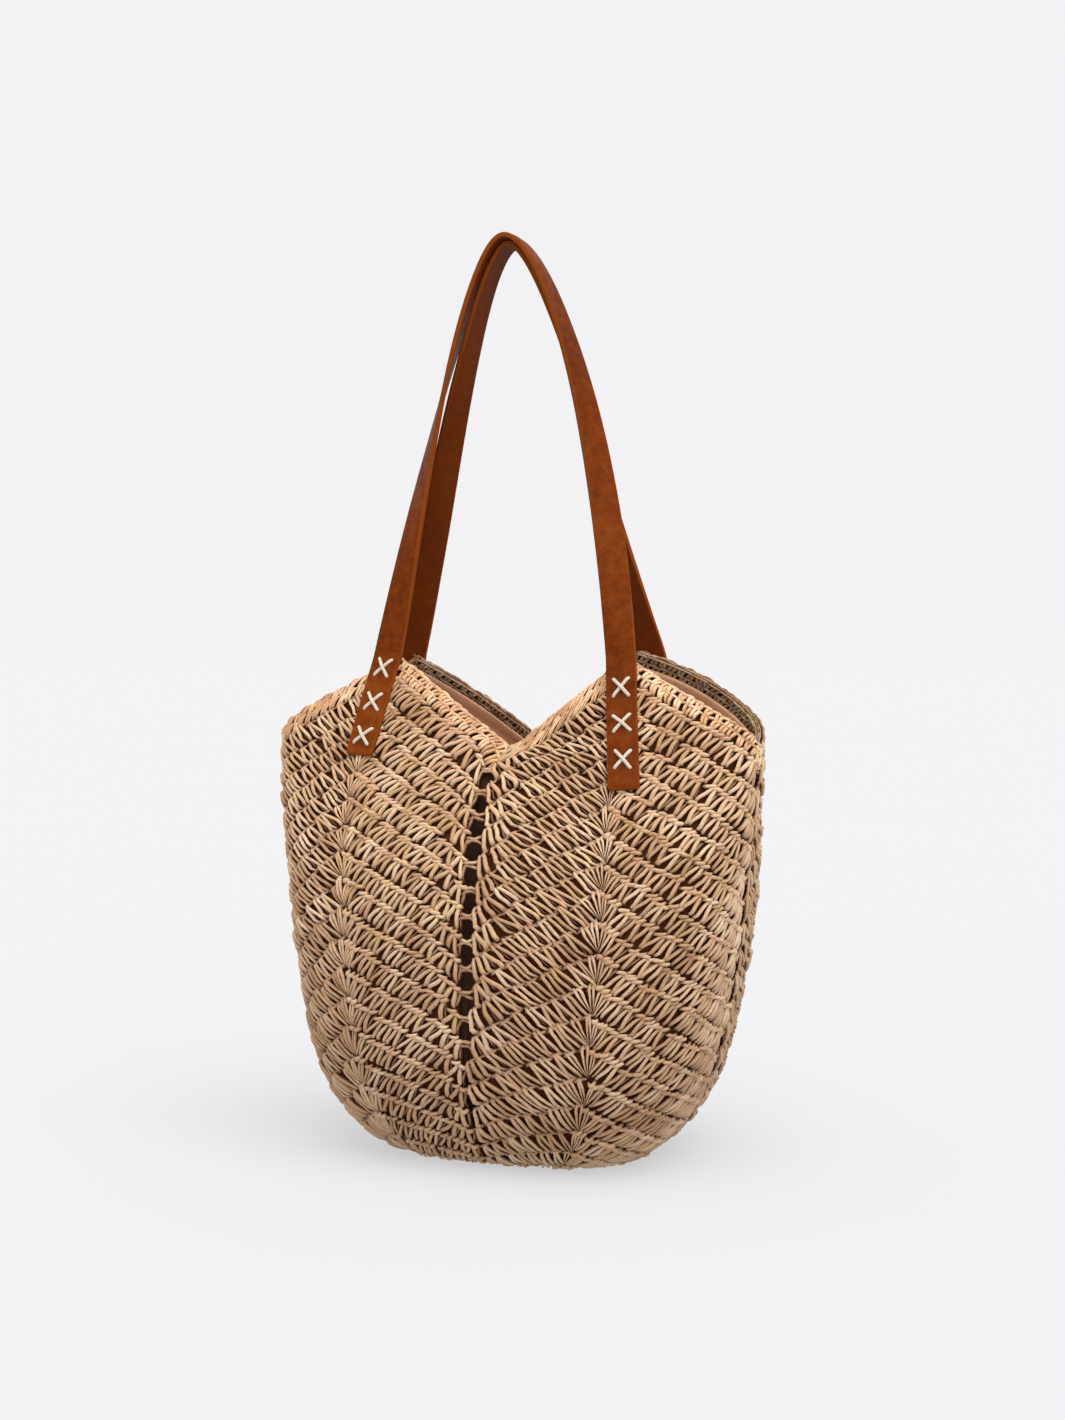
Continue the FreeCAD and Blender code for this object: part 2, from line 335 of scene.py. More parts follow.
def add_half_row(cells, surface, peak, side, lower, upper, width, gap, lean=0.0):
    """Stitches of one row on one half of a petal. They lean towards the valley by a distance along the row,
    so that a few of them fan out from one point on the petal's middle line."""
    top_length = line_length(surface, peak, side, upper)
    low_length = line_length(surface, peak, side, lower)
    count = max(2, int(round((top_length - gap) / width)))
    top_end = 1.0 - gap / max(top_length, gap * 2)
    low_end = 1.0 - gap / max(low_length, gap * 2)
    tops = np.linspace(0.0, top_end, count + 1)
    share = tops / top_end
    to_valley = np.clip((1.0 - share) * top_length / LEAN_FADE, 0.0, 1.0)
    shift = lean / max(low_length, lean * 2.0) * (VALLEY_LEAN + (1.0 - VALLEY_LEAN) * to_valley)
    lows = np.maximum(share * low_end - shift, share * 0.03 * low_end)
    q_top, t_top = spaced_on_line(surface, peak, side, upper, tops)
    q_low, t_low = spaced_on_line(surface, peak, side, lower, lows)
    top, low = surface.at(q_top, t_top), surface.at(q_low, t_low)
    n_top, n_low = surface.normal(q_top, t_top), surface.normal(q_low, t_low)
    near, far = slice(0, -1), slice(1, None)
    if side < 0:
        near, far = far, near
    cells.add(low[near], low[far], top[near], top[far], n_low[:-1] + n_low[1:], n_top[:-1] + n_top[1:])


# ---------------------------------------------------------------- strands and the stitch tree

def smooth_path(points, steps):
    """Points on a Catmull-Rom curve through some points; each is (x, y, z, radius)."""
    pts = np.array(points, float)
    pts = np.vstack([2 * pts[0] - pts[1], pts, 2 * pts[-1] - pts[-2]])
    spans = len(points) - 1
    result = []
    for place in np.linspace(0.0, spans, steps):
        k = min(int(place), spans - 1)
        u = place - k
        a, b, c, d = pts[k:k + 4]
        result.append(0.5 * (2 * b + (c - a) * u + (2 * a - 5 * b + 4 * c - d) * u ** 2
                             + (3 * b - 3 * c + d - a) * u ** 3))
    return np.array(result)


def add_strand(bm, layers, points, steps, sides, scale):
    """A capped tube along a path. scale turns millimetres into the unit cell."""
    path = smooth_path(points, steps)
    centres, radii = path[:, :3], path[:, 3]
    tangents = np.gradient(centres, axis=0)
    tangents /= np.linalg.norm(tangents, axis=1, keepdims=True)
    side_way = np.cross(tangents[0], (0.0, 0.0, 1.0))
    side_way /= np.linalg.norm(side_way)
    run = run_along(centres)
    rings = []
    for i, centre in enumerate(centres):
        side_way = side_way - tangents[i] * side_way.dot(tangents[i])
        side_way /= np.linalg.norm(side_way)
        up_way = np.cross(side_way, tangents[i])
        ring = []
        for j in range(sides):
            angle = 2 * math.pi * j / sides
            p = centre + radii[i] * (side_way * math.cos(angle) + up_way * math.sin(angle))
            vert = bm.verts.new(Vector(p * scale))
            vert[layers[0]] = run[i] * 0.001
            vert[layers[1]] = abs(2.0 * j / sides - 1.0)
            ring.append(vert)
        rings.append(ring)
    for lower, upper in zip(rings[:-1], rings[1:]):
        for j in range(sides):
            k = (j + 1) % sides
            bm.faces.new((lower[j], upper[j], upper[k], lower[k]))
    bm.faces.new(rings[0])
    bm.faces.new(rings[-1][::-1])


def unit_stitch(name, width, height, strands, jiggle, rng):
    """One stitch as a mesh in a cell that is 1 wide and 1 high. strands are in millimetres."""
    bm = bmesh.new()
    layers = (bm.verts.layers.float.new("along"), bm.verts.layers.float.new("around"))
    scale = np.array([1.0 / width, 1.0 / height, 0.001])
    for points, steps, sides in strands:
        moved = np.array(points, float)
        moved[:, :3] += rng.normal(0.0, jiggle, (len(moved), 3)) * (1.0, 1.0, 0.6)
        add_strand(bm, layers, moved, steps, sides, scale)
    bmesh.ops.recalc_face_normals(bm, faces=bm.faces)
    mesh = bpy.data.meshes.new(name)
    bm.to_mesh(mesh)
    bm.free()
    return bpy.data.objects.new(name, mesh)


def row_chain(r, rise):
    """The rope-like chain at the top of a row: two short strands that lie slanted over one another."""
    near = [(-1.5, 10.6, 0.5, r), (0.3, 11.5 + rise, 2.5, r * 1.1), (2.4, 12.9 + rise, 2.8, r * 1.15),
            (3.9, 14.4, 0.8, r)]
    far = [(2.6, 10.5, 0.5, r), (4.4, 11.6 + rise, 2.5, r * 1.1), (6.5, 13.0 + rise, 2.8, r * 1.15),
           (8.1, 14.3, 0.8, r)]
    return [(near, 5, 5), (far, 5, 5)]


def tall_stitch(r, form):
    """Two thick legs that stand close together under the row's chain, with a deeper strand beside them."""
    w, h = 8.3, 14.6
    spread, tie, cross, rise = form
    left = [(2.2 - 0.5 * spread, 0.0, 0.3, r), (1.5 - 0.5 * spread, 2.2, 2.0, r * 1.1),
            (1.8, 6.8, 2.7, r * 1.15), (2.4 + tie, 12.2, 1.8, r)]
    right = [(6.3 + 0.4 * spread, 0.0, 0.3, r), (5.7 + 0.5 * spread, 2.2, 2.0, r * 1.1),
             (5.6, 7.0, 2.7, r * 1.15), (5.4 - tie, 12.2, 1.8, r)]
    between = [(8.0 - cross, 0.6, -0.4, r * 0.9), (7.9, 4.5, 0.3, r), (7.8 + 0.6 * cross, 9.0, 0.4, r),
               (7.7 + cross, 12.5, -0.2, r * 0.9)]
    return w, h, [(left, 7, 5), (right, 7, 5), (between, 5, 4)] + row_chain(r, rise)


def slant_stitch(r, form):
    """Two parallel legs with a deeper strand between them, under a thin chain."""
    w, h = 8.3, 14.6
    spread, tie, cross, rise = form
    left = [(2.2, -1.0, 0.2, r), (1.8 - 0.4 * spread, 2.4, 2.1, r), (2.0, 8.0, 2.8, r * 1.1),
            (2.4 + 0.6 * tie, 12.0, 2.4, r), (3.1 + 0.6 * tie, 14.8 + rise, 0.6, r)]
    right = [(6.2, -1.0, 0.2, r), (6.0 + 0.4 * spread, 2.4, 2.1, r), (6.2, 8.0, 2.8, r * 1.1),
             (5.8 - 0.6 * tie, 12.0, 2.4, r), (5.4 - 0.6 * tie, 14.8 + rise, 0.6, r)]
    inner = [(4.0 - 0.6 * cross, 0.2, -0.4, r * 0.8), (4.1, 6.0, 0.3, r * 0.8),
             (4.2 + 0.6 * cross, 13.0, -0.2, r * 0.8)]
    chain = [(-1.2, 12.9, 0.0, r * 0.8), (2.0, 13.4, 1.2, r * 0.85), (6.2, 13.7, 1.3, r * 0.85),
             (9.5, 14.2, 0.0, r * 0.8)]
    return w, h, [(left, 8, 5), (right, 8, 5), (inner, 4, 4), (chain, 5, 4)]


def low_stitch(r, _):
    """Short dense edging stitch: two slanted strands under a top strand. It has one form only."""
    w, h = 6.6, 7.5
    left = [(0.9, -1.2, 0.3, r), (2.0, 2.2, 1.9, r), (3.9, 6.2, 2.1, r), (5.6, 8.0, 1.2, r)]
    right = [(3.4, -1.2, 0.2, r), (4.3, 2.0, 1.7, r), (6.4, 5.6, 1.9, r), (8.2, 7.6, 1.0, r)]
    top = [(-1.0, 6.6, 0.9, r * 0.9), (1.8, 7.9, 2.0, r * 0.9), (4.6, 8.1, 2.2, r * 0.9),
           (7.8, 6.9, 1.0, r * 0.9)]
    return w, h, [(left, 6, 5), (right, 6, 5), (top, 5, 4)]


def chain_link(r, _):
    """One V of the chain that lies along the rim."""
    w, h = 6.6, 4.6
    near = [(-1.6, 2.3, 0.5, r), (1.0, 0.9, 1.3, r), (4.6, 0.4, 1.5, r), (7.6, 2.2, 0.9, r)]
    far = [(-1.6, 2.5, 0.5, r), (1.0, 3.8, 1.3, r), (4.6, 4.3, 1.5, r), (7.6, 2.6, 0.9, r)]
    return w, h, [(near, 7, 5), (far, 7, 5)]


def rung_strand(r, _):
    """Two strands side by side that cross a valley."""
    w, h = 8.0, 4.0
    upper = [(-3.4, 2.2, 0.0, r), (0.4, 1.6, 1.3, r * 0.9), (4.0, 1.3, 1.7, r * 0.9),
             (7.6, 1.8, 1.3, r * 0.9), (11.4, 3.4, 0.0, r)]
    lower = [(-3.2, -2.6, 0.0, r), (0.8, -0.6, 0.8, r * 0.9), (4.0, -0.2, 1.0, r * 0.9),
             (7.2, -0.8, 0.8, r * 0.9), (11.2, -3.0, 0.0, r)]
    return w, h, [(upper, 9, 6), (lower, 9, 6)]


# Each kind of stitch and how much its points differ, in millimetres
STITCHES = {"tall": (tall_stitch, 0.42), "slant": (slant_stitch, 0.42), "low": (low_stitch, 0.3),
            "link": (chain_link, 0.2), "rung": (rung_strand, 0.5)}
# Spread of the feet, how far the legs close at the top, slant of the deeper strands, rise of the chain
FORMS = ((0.6, 0.2, 0.3, 0.0), (1.4, 0.8, -0.8, 0.4), (0.2, 0.0, 0.9, 0.2), (1.0, 0.9, 0.0, -0.4),
         (0.8, -0.5, -1.2, 0.1), (1.6, 0.4, 0.6, 0.5))
VARIANTS = len(FORMS)


def stitch_collections(radius_mm, seed):
    """One hidden collection for each kind of stitch, with a few variants in it, one for each listed form."""
    rng = np.random.default_rng(seed)
    made = {}
    for kind, (shape, jiggle) in STITCHES.items():
        group = bpy.data.collections.new(kind + "_stitches")
        for i, form in enumerate(FORMS):
            width, height, strands = shape(radius_mm, form)
            group.objects.link(unit_stitch(f"{kind}_{i}", width, height, strands, jiggle, rng))
        made[kind] = group
    return made


def fill(tree, target, value):
    """Links another node's output to an input, or sets the input to a plain value."""
    if isinstance(value, bpy.types.NodeSocket):
        tree.links.new(value, target)
    else:
        target.default_value = value


def node(tree, kind, links=None, **settings):
    """Adds a node, sets its properties and fills its inputs by name or index."""
    made = tree.nodes.new(kind)
    for key, value in settings.items():
        setattr(made, key, value)
    for socket, value in (links or {}).items():
        fill(tree, made.inputs[socket], value)
    return made


def mix_vectors(tree, factor, a, b):
    made = node(tree, "ShaderNodeMix", {0: factor, 4: a, 5: b}, data_type="VECTOR", clamp_factor=False)
    return made.outputs[1]


def maths(tree, operation, a, b=0.0, c=0.0):
    return node(tree, "ShaderNodeMath", {0: a, 1: b, 2: c}, operation=operation).outputs[0]


def stitch_tree():
    """Puts one stitch in each cell and bends it into the cell's four corners."""
    tree = bpy.data.node_groups.new("stitch_in_cells", "GeometryNodeTree")
    face = tree.interface
    face.new_socket("Geometry", in_out="INPUT", socket_type="NodeSocketGeometry")
    face.new_socket("Stitches", in_out="INPUT", socket_type="NodeSocketCollection")
    face.new_socket("Straw", in_out="INPUT", socket_type="NodeSocketMaterial")
    face.new_socket("Relief", in_out="INPUT", socket_type="NodeSocketFloat")
    face.new_socket("Unevenness", in_out="INPUT", socket_type="NodeSocketFloat")
    face.new_socket("Seed", in_out="INPUT", socket_type="NodeSocketInt")
    face.new_socket("Geometry", in_out="OUTPUT", socket_type="NodeSocketGeometry")
    given = node(tree, "NodeGroupInput").outputs
    index = node(tree, "GeometryNodeInputIndex").outputs[0]
    seed = given["Seed"]
    next_seed = maths(tree, "ADD", seed, 1.0)
    jig = node(tree, "FunctionNodeRandomValue", {"ID": index, "Seed": seed}, data_type="FLOAT_VECTOR")
    jig.inputs[0].default_value = (-1.0, -1.0, -1.0)
    tone = node(tree, "FunctionNodeRandomValue", {"ID": index, "Seed": next_seed}, data_type="FLOAT")
    which = node(tree, "FunctionNodeRandomValue", {"ID": index, "Seed": seed}, data_type="INT")
    which.inputs[4].default_value = 0
    which.inputs[5].default_value = VARIANTS - 1
    kept = node(tree, "GeometryNodeStoreNamedAttribute",
                {"Geometry": given["Geometry"], "Name": "jig", "Value": jig.outputs[0]},
                data_type="FLOAT_VECTOR")
    kept = node(tree, "GeometryNodeStoreNamedAttribute",
                {"Geometry": kept.outputs[0], "Name": "tone", "Value": tone.outputs[1]}, data_type="FLOAT")
    stock = node(tree, "GeometryNodeCollectionInfo",
                 {"Collection": given["Stitches"], "Separate Children": True, "Reset Children": True})
    placed = node(tree, "GeometryNodeInstanceOnPoints",
                  {"Points": kept.outputs[0], "Instance": stock.outputs[0], "Pick Instance": True,
                   "Instance Index": which.outputs[2]})
    real = node(tree, "GeometryNodeRealizeInstances", {0: placed.outputs[0]}).outputs[0]

    def named(label, kind="FLOAT_VECTOR"):
        return node(tree, "GeometryNodeInputNamedAttribute", {"Name": label}, data_type=kind).outputs[0]

    position = node(tree, "GeometryNodeInputPosition").outputs[0]
    place = node(tree, "ShaderNodeSeparateXYZ", {0: position}).outputs
    shake = node(tree, "ShaderNodeSeparateXYZ", {0: named("jig")}).outputs
    amount = given["Unevenness"]
    lean = maths(tree, "MULTIPLY", maths(tree, "SUBTRACT", place[1], 0.3), shake[2])
    across = maths(tree, "MULTIPLY_ADD", shake[0], maths(tree, "MULTIPLY", amount, 0.12), place[0])
    across = maths(tree, "MULTIPLY_ADD", lean, maths(tree, "MULTIPLY", amount, 0.30), across)
    upward = maths(tree, "MULTIPLY_ADD", shake[1], maths(tree, "MULTIPLY", amount, 0.09), place[1])
    swell = maths(tree, "MULTIPLY_ADD", shake[1], maths(tree, "MULTIPLY", amount, 0.30), 1.0)
    height = maths(tree, "MULTIPLY", maths(tree, "MULTIPLY", place[2], given["Relief"]), swell)
    low = mix_vectors(tree, across, named("c00"), named("c10"))
    top = mix_vectors(tree, across, named("c01"), named("c11"))
    base = mix_vectors(tree, upward, low, top)
    out = node(tree, "ShaderNodeVectorMath",
               {0: mix_vectors(tree, place[1], named("nb"), named("nt"))}, operation="NORMALIZE").outputs[0]
    raised = node(tree, "ShaderNodeVectorMath", {0: out, 3: height}, operation="SCALE").outputs[0]
    final = node(tree, "ShaderNodeVectorMath", {0: base, 1: raised}, operation="ADD").outputs[0]
    depth = node(tree, "GeometryNodeStoreNamedAttribute",
                 {"Geometry": real, "Name": "height", "Value": place[2]}, data_type="FLOAT")
    moved = node(tree, "GeometryNodeSetPosition", {"Geometry": depth.outputs[0], "Position": final})
    soft = node(tree, "GeometryNodeSetShadeSmooth", {"Geometry": moved.outputs[0], "Shade Smooth": True})
    dyed = node(tree, "GeometryNodeSetMaterial", {"Geometry": soft.outputs[0], "Material": given["Straw"]})
    node(tree, "NodeGroupOutput", {0: dyed.outputs[0]})
    return tree


def worked(points, tree, values, name):
    """Runs the stitch tree on some cells and returns the result as a plain mesh object."""
    modifier = points.modifiers.new("stitches", "NODES")
    modifier.node_group = tree
    for item in tree.interface.items_tree:
        if item.in_out == "INPUT" and item.name in values:
            modifier[item.identifier] = values[item.name]
    evaluated = points.evaluated_get(bpy.context.evaluated_depsgraph_get())
    mesh = bpy.data.meshes.new_from_object(evaluated)
    mesh.name = name
    for label in CELL_NAMES + ("jig",):
        if label in mesh.attributes:
            mesh.attributes.remove(mesh.attributes[label])
    bpy.data.objects.remove(points)
    return placed(name, mesh)


# ---------------------------------------------------------------- mesh helpers

def placed(name, data):
    """A new object in the scene that holds a mesh, light or camera."""
    made = bpy.data.objects.new(name, data)
    bpy.context.scene.collection.objects.link(made)
    return made


def smoothed(mesh, material):
    """The same mesh in one material, shaded smooth."""
    mesh.materials.append(material)
    mesh.polygons.foreach_set("use_smooth", [True] * len(mesh.polygons))
    mesh.update()
    return mesh


def grid_object(name, points, material):
    """A sheet of quads through a grid of points."""
    rows, columns = points.shape[:2]
    faces = []
    for i in range(rows - 1):
        for j in range(columns - 1):
            low, high = i * columns + j, (i + 1) * columns + j
            faces.append((low, high, high + 1, low + 1))
    mesh = bpy.data.meshes.new(name)
    mesh.from_pydata(points.reshape(-1, 3).tolist(), [], faces)
    return placed(name, smoothed(mesh, material))


def joined(name, *objects):
    """Joins some mesh objects into the first and names it."""
    bpy.ops.object.select_all(action="DESELECT")
    for o in objects:
        o.select_set(True)
    bpy.context.view_layer.objects.active = objects[0]
    if len(objects) > 1:
        bpy.ops.object.join()
    objects[0].name = name
    return objects[0]


def press_flat(made):
    """Strands that the bag stands on are pressed flat against the ground."""
    count = len(made.data.vertices)
    values = np.empty(count * 3, np.float32)
    made.data.vertices.foreach_get("co", values)
    above = values[2::3] - GROUND_GAP
    values[2::3] = GROUND_GAP + np.where(above < 0.0, above * PRESSED_SHARE, above)
    made.data.vertices.foreach_set("co", values)
    made.data.update()


def finish_piece(made, body, slot, *nodes):
    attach(made, body)
    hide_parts(*nodes)


# ---------------------------------------------------------------- materials

def material(name):
    made = bpy.data.materials.new(name)
    made.use_nodes = True
    tree = made.node_tree
    tree.nodes.clear()
    shader = tree.nodes.new("ShaderNodeBsdfPrincipled")
    output = tree.nodes.new("ShaderNodeOutputMaterial")
    tree.links.new(shader.outputs[0], output.inputs["Surface"])
    return made, tree, shader


def ramp(tree, factor, *stops):
    made = node(tree, "ShaderNodeValToRGB", {0: factor})
    elements = made.color_ramp.elements
    while len(elements) < len(stops):
        elements.new(0.5)
    for element, (place, colour) in zip(elements, stops):
        element.position = place
        element.color = (*colour, 1.0)
    return made.outputs[0]


def mix_colours(tree, factor, a, b, mode="MIX"):
    """One colour over another; b may be a plain colour."""
    if not isinstance(b, bpy.types.NodeSocket):
        b = (*b, 1.0)
    return node(tree, "ShaderNodeMix", {0: factor, 6: a, 7: b}, data_type="RGBA", blend_type=mode).outputs[2]


def attribute(tree, name):
    return node(tree, "ShaderNodeAttribute", attribute_name=name).outputs["Fac"]


def ranged(tree, value, low, high, at_low, at_high):
    """A value taken from one range to another, and held at its ends."""
    return node(tree, "ShaderNodeMapRange", {0: value, 1: low, 2: high, 3: at_low, 4: at_high}).outputs[0]


def finish_shader(tree, shader, colour, height, bump, rough, specular):
    """Sets a surface's colour, its bump (strength and depth), roughness and specular level."""
    relief = node(tree, "ShaderNodeBump", {"Height": height, "Strength": bump[0], "Distance": bump[1]})
    for label, value in (("Base Color", colour), ("Normal", relief.outputs[0]), ("Roughness", rough)):
        fill(tree, shader.inputs[label], value)
    shader.inputs["Specular IOR Level"].default_value = specular


def object_noise(tree, scale, detail=3.0, rough=0.5):
    place = node(tree, "ShaderNodeTexCoord").outputs["Object"]
    return node(tree, "ShaderNodeTexNoise",
                {"Vector": place, "Scale": scale, "Detail": detail, "Roughness": rough}).outputs[0]


def straw_material(name, light, mid, dark, gap, inner_shade=0.0):
    """Twisted paper straw: tones differ from stitch to stitch, with fine twist lines and painted shade in the
    hollows.
    It is painted lighter towards the top, for the light from above, and the side that faces the mouth gets
    painted shade by inner_shade."""
    made, tree, shader = material(name)
    patches = object_noise(tree, 38.0)
    fine = object_noise(tree, 420.0, 2.0)
    shade = maths(tree, "MULTIPLY_ADD", attribute(tree, "tone"), 0.34, maths(tree, "MULTIPLY", patches, 0.60))
    shade = maths(tree, "MULTIPLY_ADD", fine, 0.25, maths(tree, "SUBTRACT", shade, 0.08))
    colour = ramp(tree, shade, (0.18, dark), (0.5, mid), (0.82, light))
    blush = ranged(tree, object_noise(tree, 55.0, 1.0), 0.45, 0.7, 0.0, 0.5)
    colour = mix_colours(tree, blush, colour, (1.0, 0.86, 0.84), "MULTIPLY")
    dry = ranged(tree, object_noise(tree, 90.0, 1.0), 0.5, 0.72, 0.0, 0.7)
    colour = mix_colours(tree, dry, colour, (1.0, 1.03, 0.78), "MULTIPLY")
    coordinates = node(tree, "ShaderNodeTexCoord").outputs
    place = node(tree, "ShaderNodeSeparateXYZ", {0: coordinates["Object"]}).outputs
    normal = node(tree, "ShaderNodeSeparateXYZ", {0: coordinates["Normal"]}).outputs
    # painted shade: the side of the straw that faces the mouth is darkened by inner_shade
    facing = maths(tree, "MULTIPLY", normal[1], maths(tree, "SIGN", place[1]))
    inner = ranged(tree, facing, -0.6, 0.1, 1.0 - inner_shade, 1.0)
    # painted light: the straw is made lighter towards the top and darker low down, for the light from above,
    # times the painted shade on the side that faces the mouth
    painted_light = maths(tree, "MULTIPLY", ranged(tree, place[2], 0.05, 0.32, 0.80, 1.12), inner)
    scale = node(tree, "ShaderNodeCombineColor", {0: painted_light, 1: painted_light, 2: painted_light}).outputs[0]
    colour = mix_colours(tree, 1.0, colour, scale, "MULTIPLY")
    # painted shade: the lowest parts of the strands are mixed towards the dark gap colour, for the shade
    # between the strands
    hollow_shade = ranged(tree, attribute(tree, "height"), 0.0004, 0.0030, 1.0, 0.0)
    colour = mix_colours(tree, maths(tree, "POWER", hollow_shade, 1.5), colour, gap)
    around = maths(tree, "MULTIPLY", attribute(tree, "around"), 5.0)
    twist = maths(tree, "SINE", maths(tree, "MULTIPLY_ADD", attribute(tree, "along"), 1500.0, around))
    grain = maths(tree, "MULTIPLY_ADD", twist, 0.35, fine)
    rough = ranged(tree, fine, 0.0, 1.0, 0.42, 0.66)
    finish_shader(tree, shader, colour, grain, (0.45, 0.0004), rough, 0.25)
    shader.inputs["Sheen Weight"].default_value = 0.03
    return made


def core_material(colour, dark):
    """The wall behind the stitches: straw in deep shade."""
    made, tree, shader = material("straw_core")
    weave = object_noise(tree, 260.0, 4.0, 0.7)
    mixed = ramp(tree, weave, (0.35, dark), (0.72, colour))
    finish_shader(tree, shader, mixed, weave, (0.9, 0.002), 0.85, 0.05)
    return made


def lining_material(colour):
    """Fine plain-weave cloth with uneven tone. Its outer side gets painted shade behind the ladders, where
    little light comes in.
    """
    made, tree, shader = material("lining_cloth")
    coordinates = node(tree, "ShaderNodeTexCoord").outputs
    axes = node(tree, "ShaderNodeSeparateXYZ", {0: coordinates["Object"]}).outputs
    warp = maths(tree, "SINE", maths(tree, "MULTIPLY", maths(tree, "ADD", axes[0], axes[1]), 7000.0))
    weft = maths(tree, "SINE", maths(tree, "MULTIPLY", axes[2], 7000.0))
    weave = maths(tree, "MULTIPLY", warp, weft)
    patches = object_noise(tree, 25.0)
    from_valley = maths(tree, "MINIMUM", maths(tree, "ABSOLUTE", maths(tree, "ADD", axes[0], 0.003)),
                        maths(tree, "ABSOLUTE", axes[1]))
    beside = ranged(tree, from_valley, 0.020, 0.030, 1.0, 0.0)
    below = ranged(tree, axes[2], 0.262, 0.270, 1.0, 0.0)
    outwards = node(tree, "ShaderNodeVectorMath", {0: coordinates["Normal"], 1: coordinates["Object"]},
                    operation="DOT_PRODUCT").outputs["Value"]
    outside = maths(tree, "GREATER_THAN", outwards, 0.0)
    shaded = maths(tree, "MULTIPLY", outside, maths(tree, "MULTIPLY", beside, below))
    deep = tuple(c * 0.72 for c in colour)
    pale = tuple(min(1.0, c * 1.15) for c in colour)
    shade = maths(tree, "MULTIPLY_ADD", weave, 0.12, patches)
    tone = ramp(tree, shade, (0.25, deep), (0.55, colour), (0.8, pale))
    # painted shade: below the rim, the outer side behind the ladders is mixed towards a near-black copy of
    # the cloth's colour
    tone = mix_colours(tree, shaded, tone, tuple(c * f for c, f in zip(colour, (0.060, 0.038, 0.025))))
    rough = ranged(tree, patches, 0.0, 1.0, 0.55, 0.75)
    finish_shader(tree, shader, tone, weave, (0.25, 0.0003), rough, 0.15)
    return made


def leather_material(colour, light, dark):
    """Saddle leather: fine grain, mottled tone, smoother pull-up streaks and rubbed, painted edges."""
    made, tree, shader = material("saddle_leather")
    place = node(tree, "ShaderNodeTexCoord").outputs["Object"]
    pores = node(tree, "ShaderNodeTexVoronoi", {"Vector": place, "Scale": 1100.0}, feature="SMOOTH_F1")
    mottle = object_noise(tree, 150.0, 5.0, 0.7)
    broad = object_noise(tree, 14.0, 2.0)
    fine = object_noise(tree, 900.0, 2.0)
    tone = maths(tree, "MULTIPLY_ADD", mottle, 0.6, maths(tree, "MULTIPLY", broad, 0.4))
    body = ramp(tree, tone, (0.3, dark), (0.5, colour), (0.72, light))
    # painted shade: the flesh side, which faces inwards and lies in shadow, is mixed towards a darker copy of
    # the leather
    flesh = maths(tree, "MULTIPLY", attribute(tree, "flesh"), 0.6)
    body = mix_colours(tree, flesh, body, tuple(c * 0.72 for c in colour))
    edge = maths(tree, "MULTIPLY", attribute(tree, "edge"), 0.55)
    rubbed = mix_colours(tree, edge, body, tuple(min(1.0, c * 1.15) for c in light))
    height = maths(tree, "MULTIPLY_ADD", pores.outputs[0], 0.6, maths(tree, "MULTIPLY", fine, 0.4))
    rough = ranged(tree, mottle, 0.3, 0.7, 0.52, 0.38)
    finish_shader(tree, shader, rubbed, height, (0.22, 0.0004), rough, 0.03)
    return made


def thread_material(colour):
    """Thick waxed cord with its plies showing."""
    made, tree, shader = material("stitch_thread")
    around = maths(tree, "MULTIPLY", attribute(tree, "around"), 9.0)
    plies = maths(tree, "SINE", maths(tree, "MULTIPLY_ADD", attribute(tree, "along"), 3600.0, around))
    fuzz = object_noise(tree, 1500.0, 2.0)
    shade = maths(tree, "MULTIPLY_ADD", plies, 0.22, fuzz)
    tone = ramp(tree, shade, (0.2, tuple(c * 0.6 for c in colour)), (0.7, colour))
    finish_shader(tree, shader, tone, shade, (0.6, 0.0004), 0.6, 0.5)
    return made


# ---------------------------------------------------------------- settings

class BagCrochetSettings(bpy.types.PropertyGroup):
    rows: IntProperty(name="Rows", description="Rows from the middle of the bottom to the edging", default=22)
    stitch_width: FloatProperty(name="Stitch width", description="Space along a row for one tall stitch",
                                default=0.0083, unit="LENGTH", precision=4)
    edging_width: FloatProperty(name="Edging width", description="Space along the rim for one low stitch",
                                default=0.0066, unit="LENGTH", precision=4)
    strand_radius: FloatProperty(name="Strand radius", description="Half the thickness of the straw",
                                 default=0.00118, unit="LENGTH", precision=5)
    inset: FloatProperty(name="Inset", description="Depth of the rows' feet below the bag's outer face",
                         default=0.0026, unit="LENGTH", precision=4)
    ladder_gap: FloatProperty(name="Ladder gap", description="Half the width of the holes in the valleys",
                              default=0.0037, unit="LENGTH", precision=4)
    lean: FloatProperty(name="Lean", description="How far a stitch's top stands towards the valley",
                        default=0.0142, unit="LENGTH", precision=4)
    slant: FloatProperty(name="Slant", description="How much more the slanted stitches lean than the mean",
                         default=0.0014, unit="LENGTH", precision=4)
    relief: FloatProperty(name="Relief", description="How strongly the stitches stand out", default=1.0)
    unevenness: FloatProperty(name="Unevenness", description="How much the stitches differ", default=0.9)
    seed: IntProperty(name="Seed", description="Fixed start of the stitches' differences", default=11)
    light: FloatVectorProperty(name="Light straw", description="Palest straw", subtype="COLOR",
                               default=(0.76, 0.555, 0.375))
    mid: FloatVectorProperty(name="Straw", description="Main straw colour", subtype="COLOR",
                             default=(0.56, 0.350, 0.203))
    dark: FloatVectorProperty(name="Dark straw", description="Deepest straw tone", subtype="COLOR",
                              default=(0.37, 0.200, 0.098))
    # painted shade: the colour of the straw in the shade deep between the strands, also used for the shaded
    # wall behind them
    gap: FloatVectorProperty(name="Hollow shade", description="Straw deep in the stitches", subtype="COLOR",
                             default=(0.125, 0.036, 0.011))


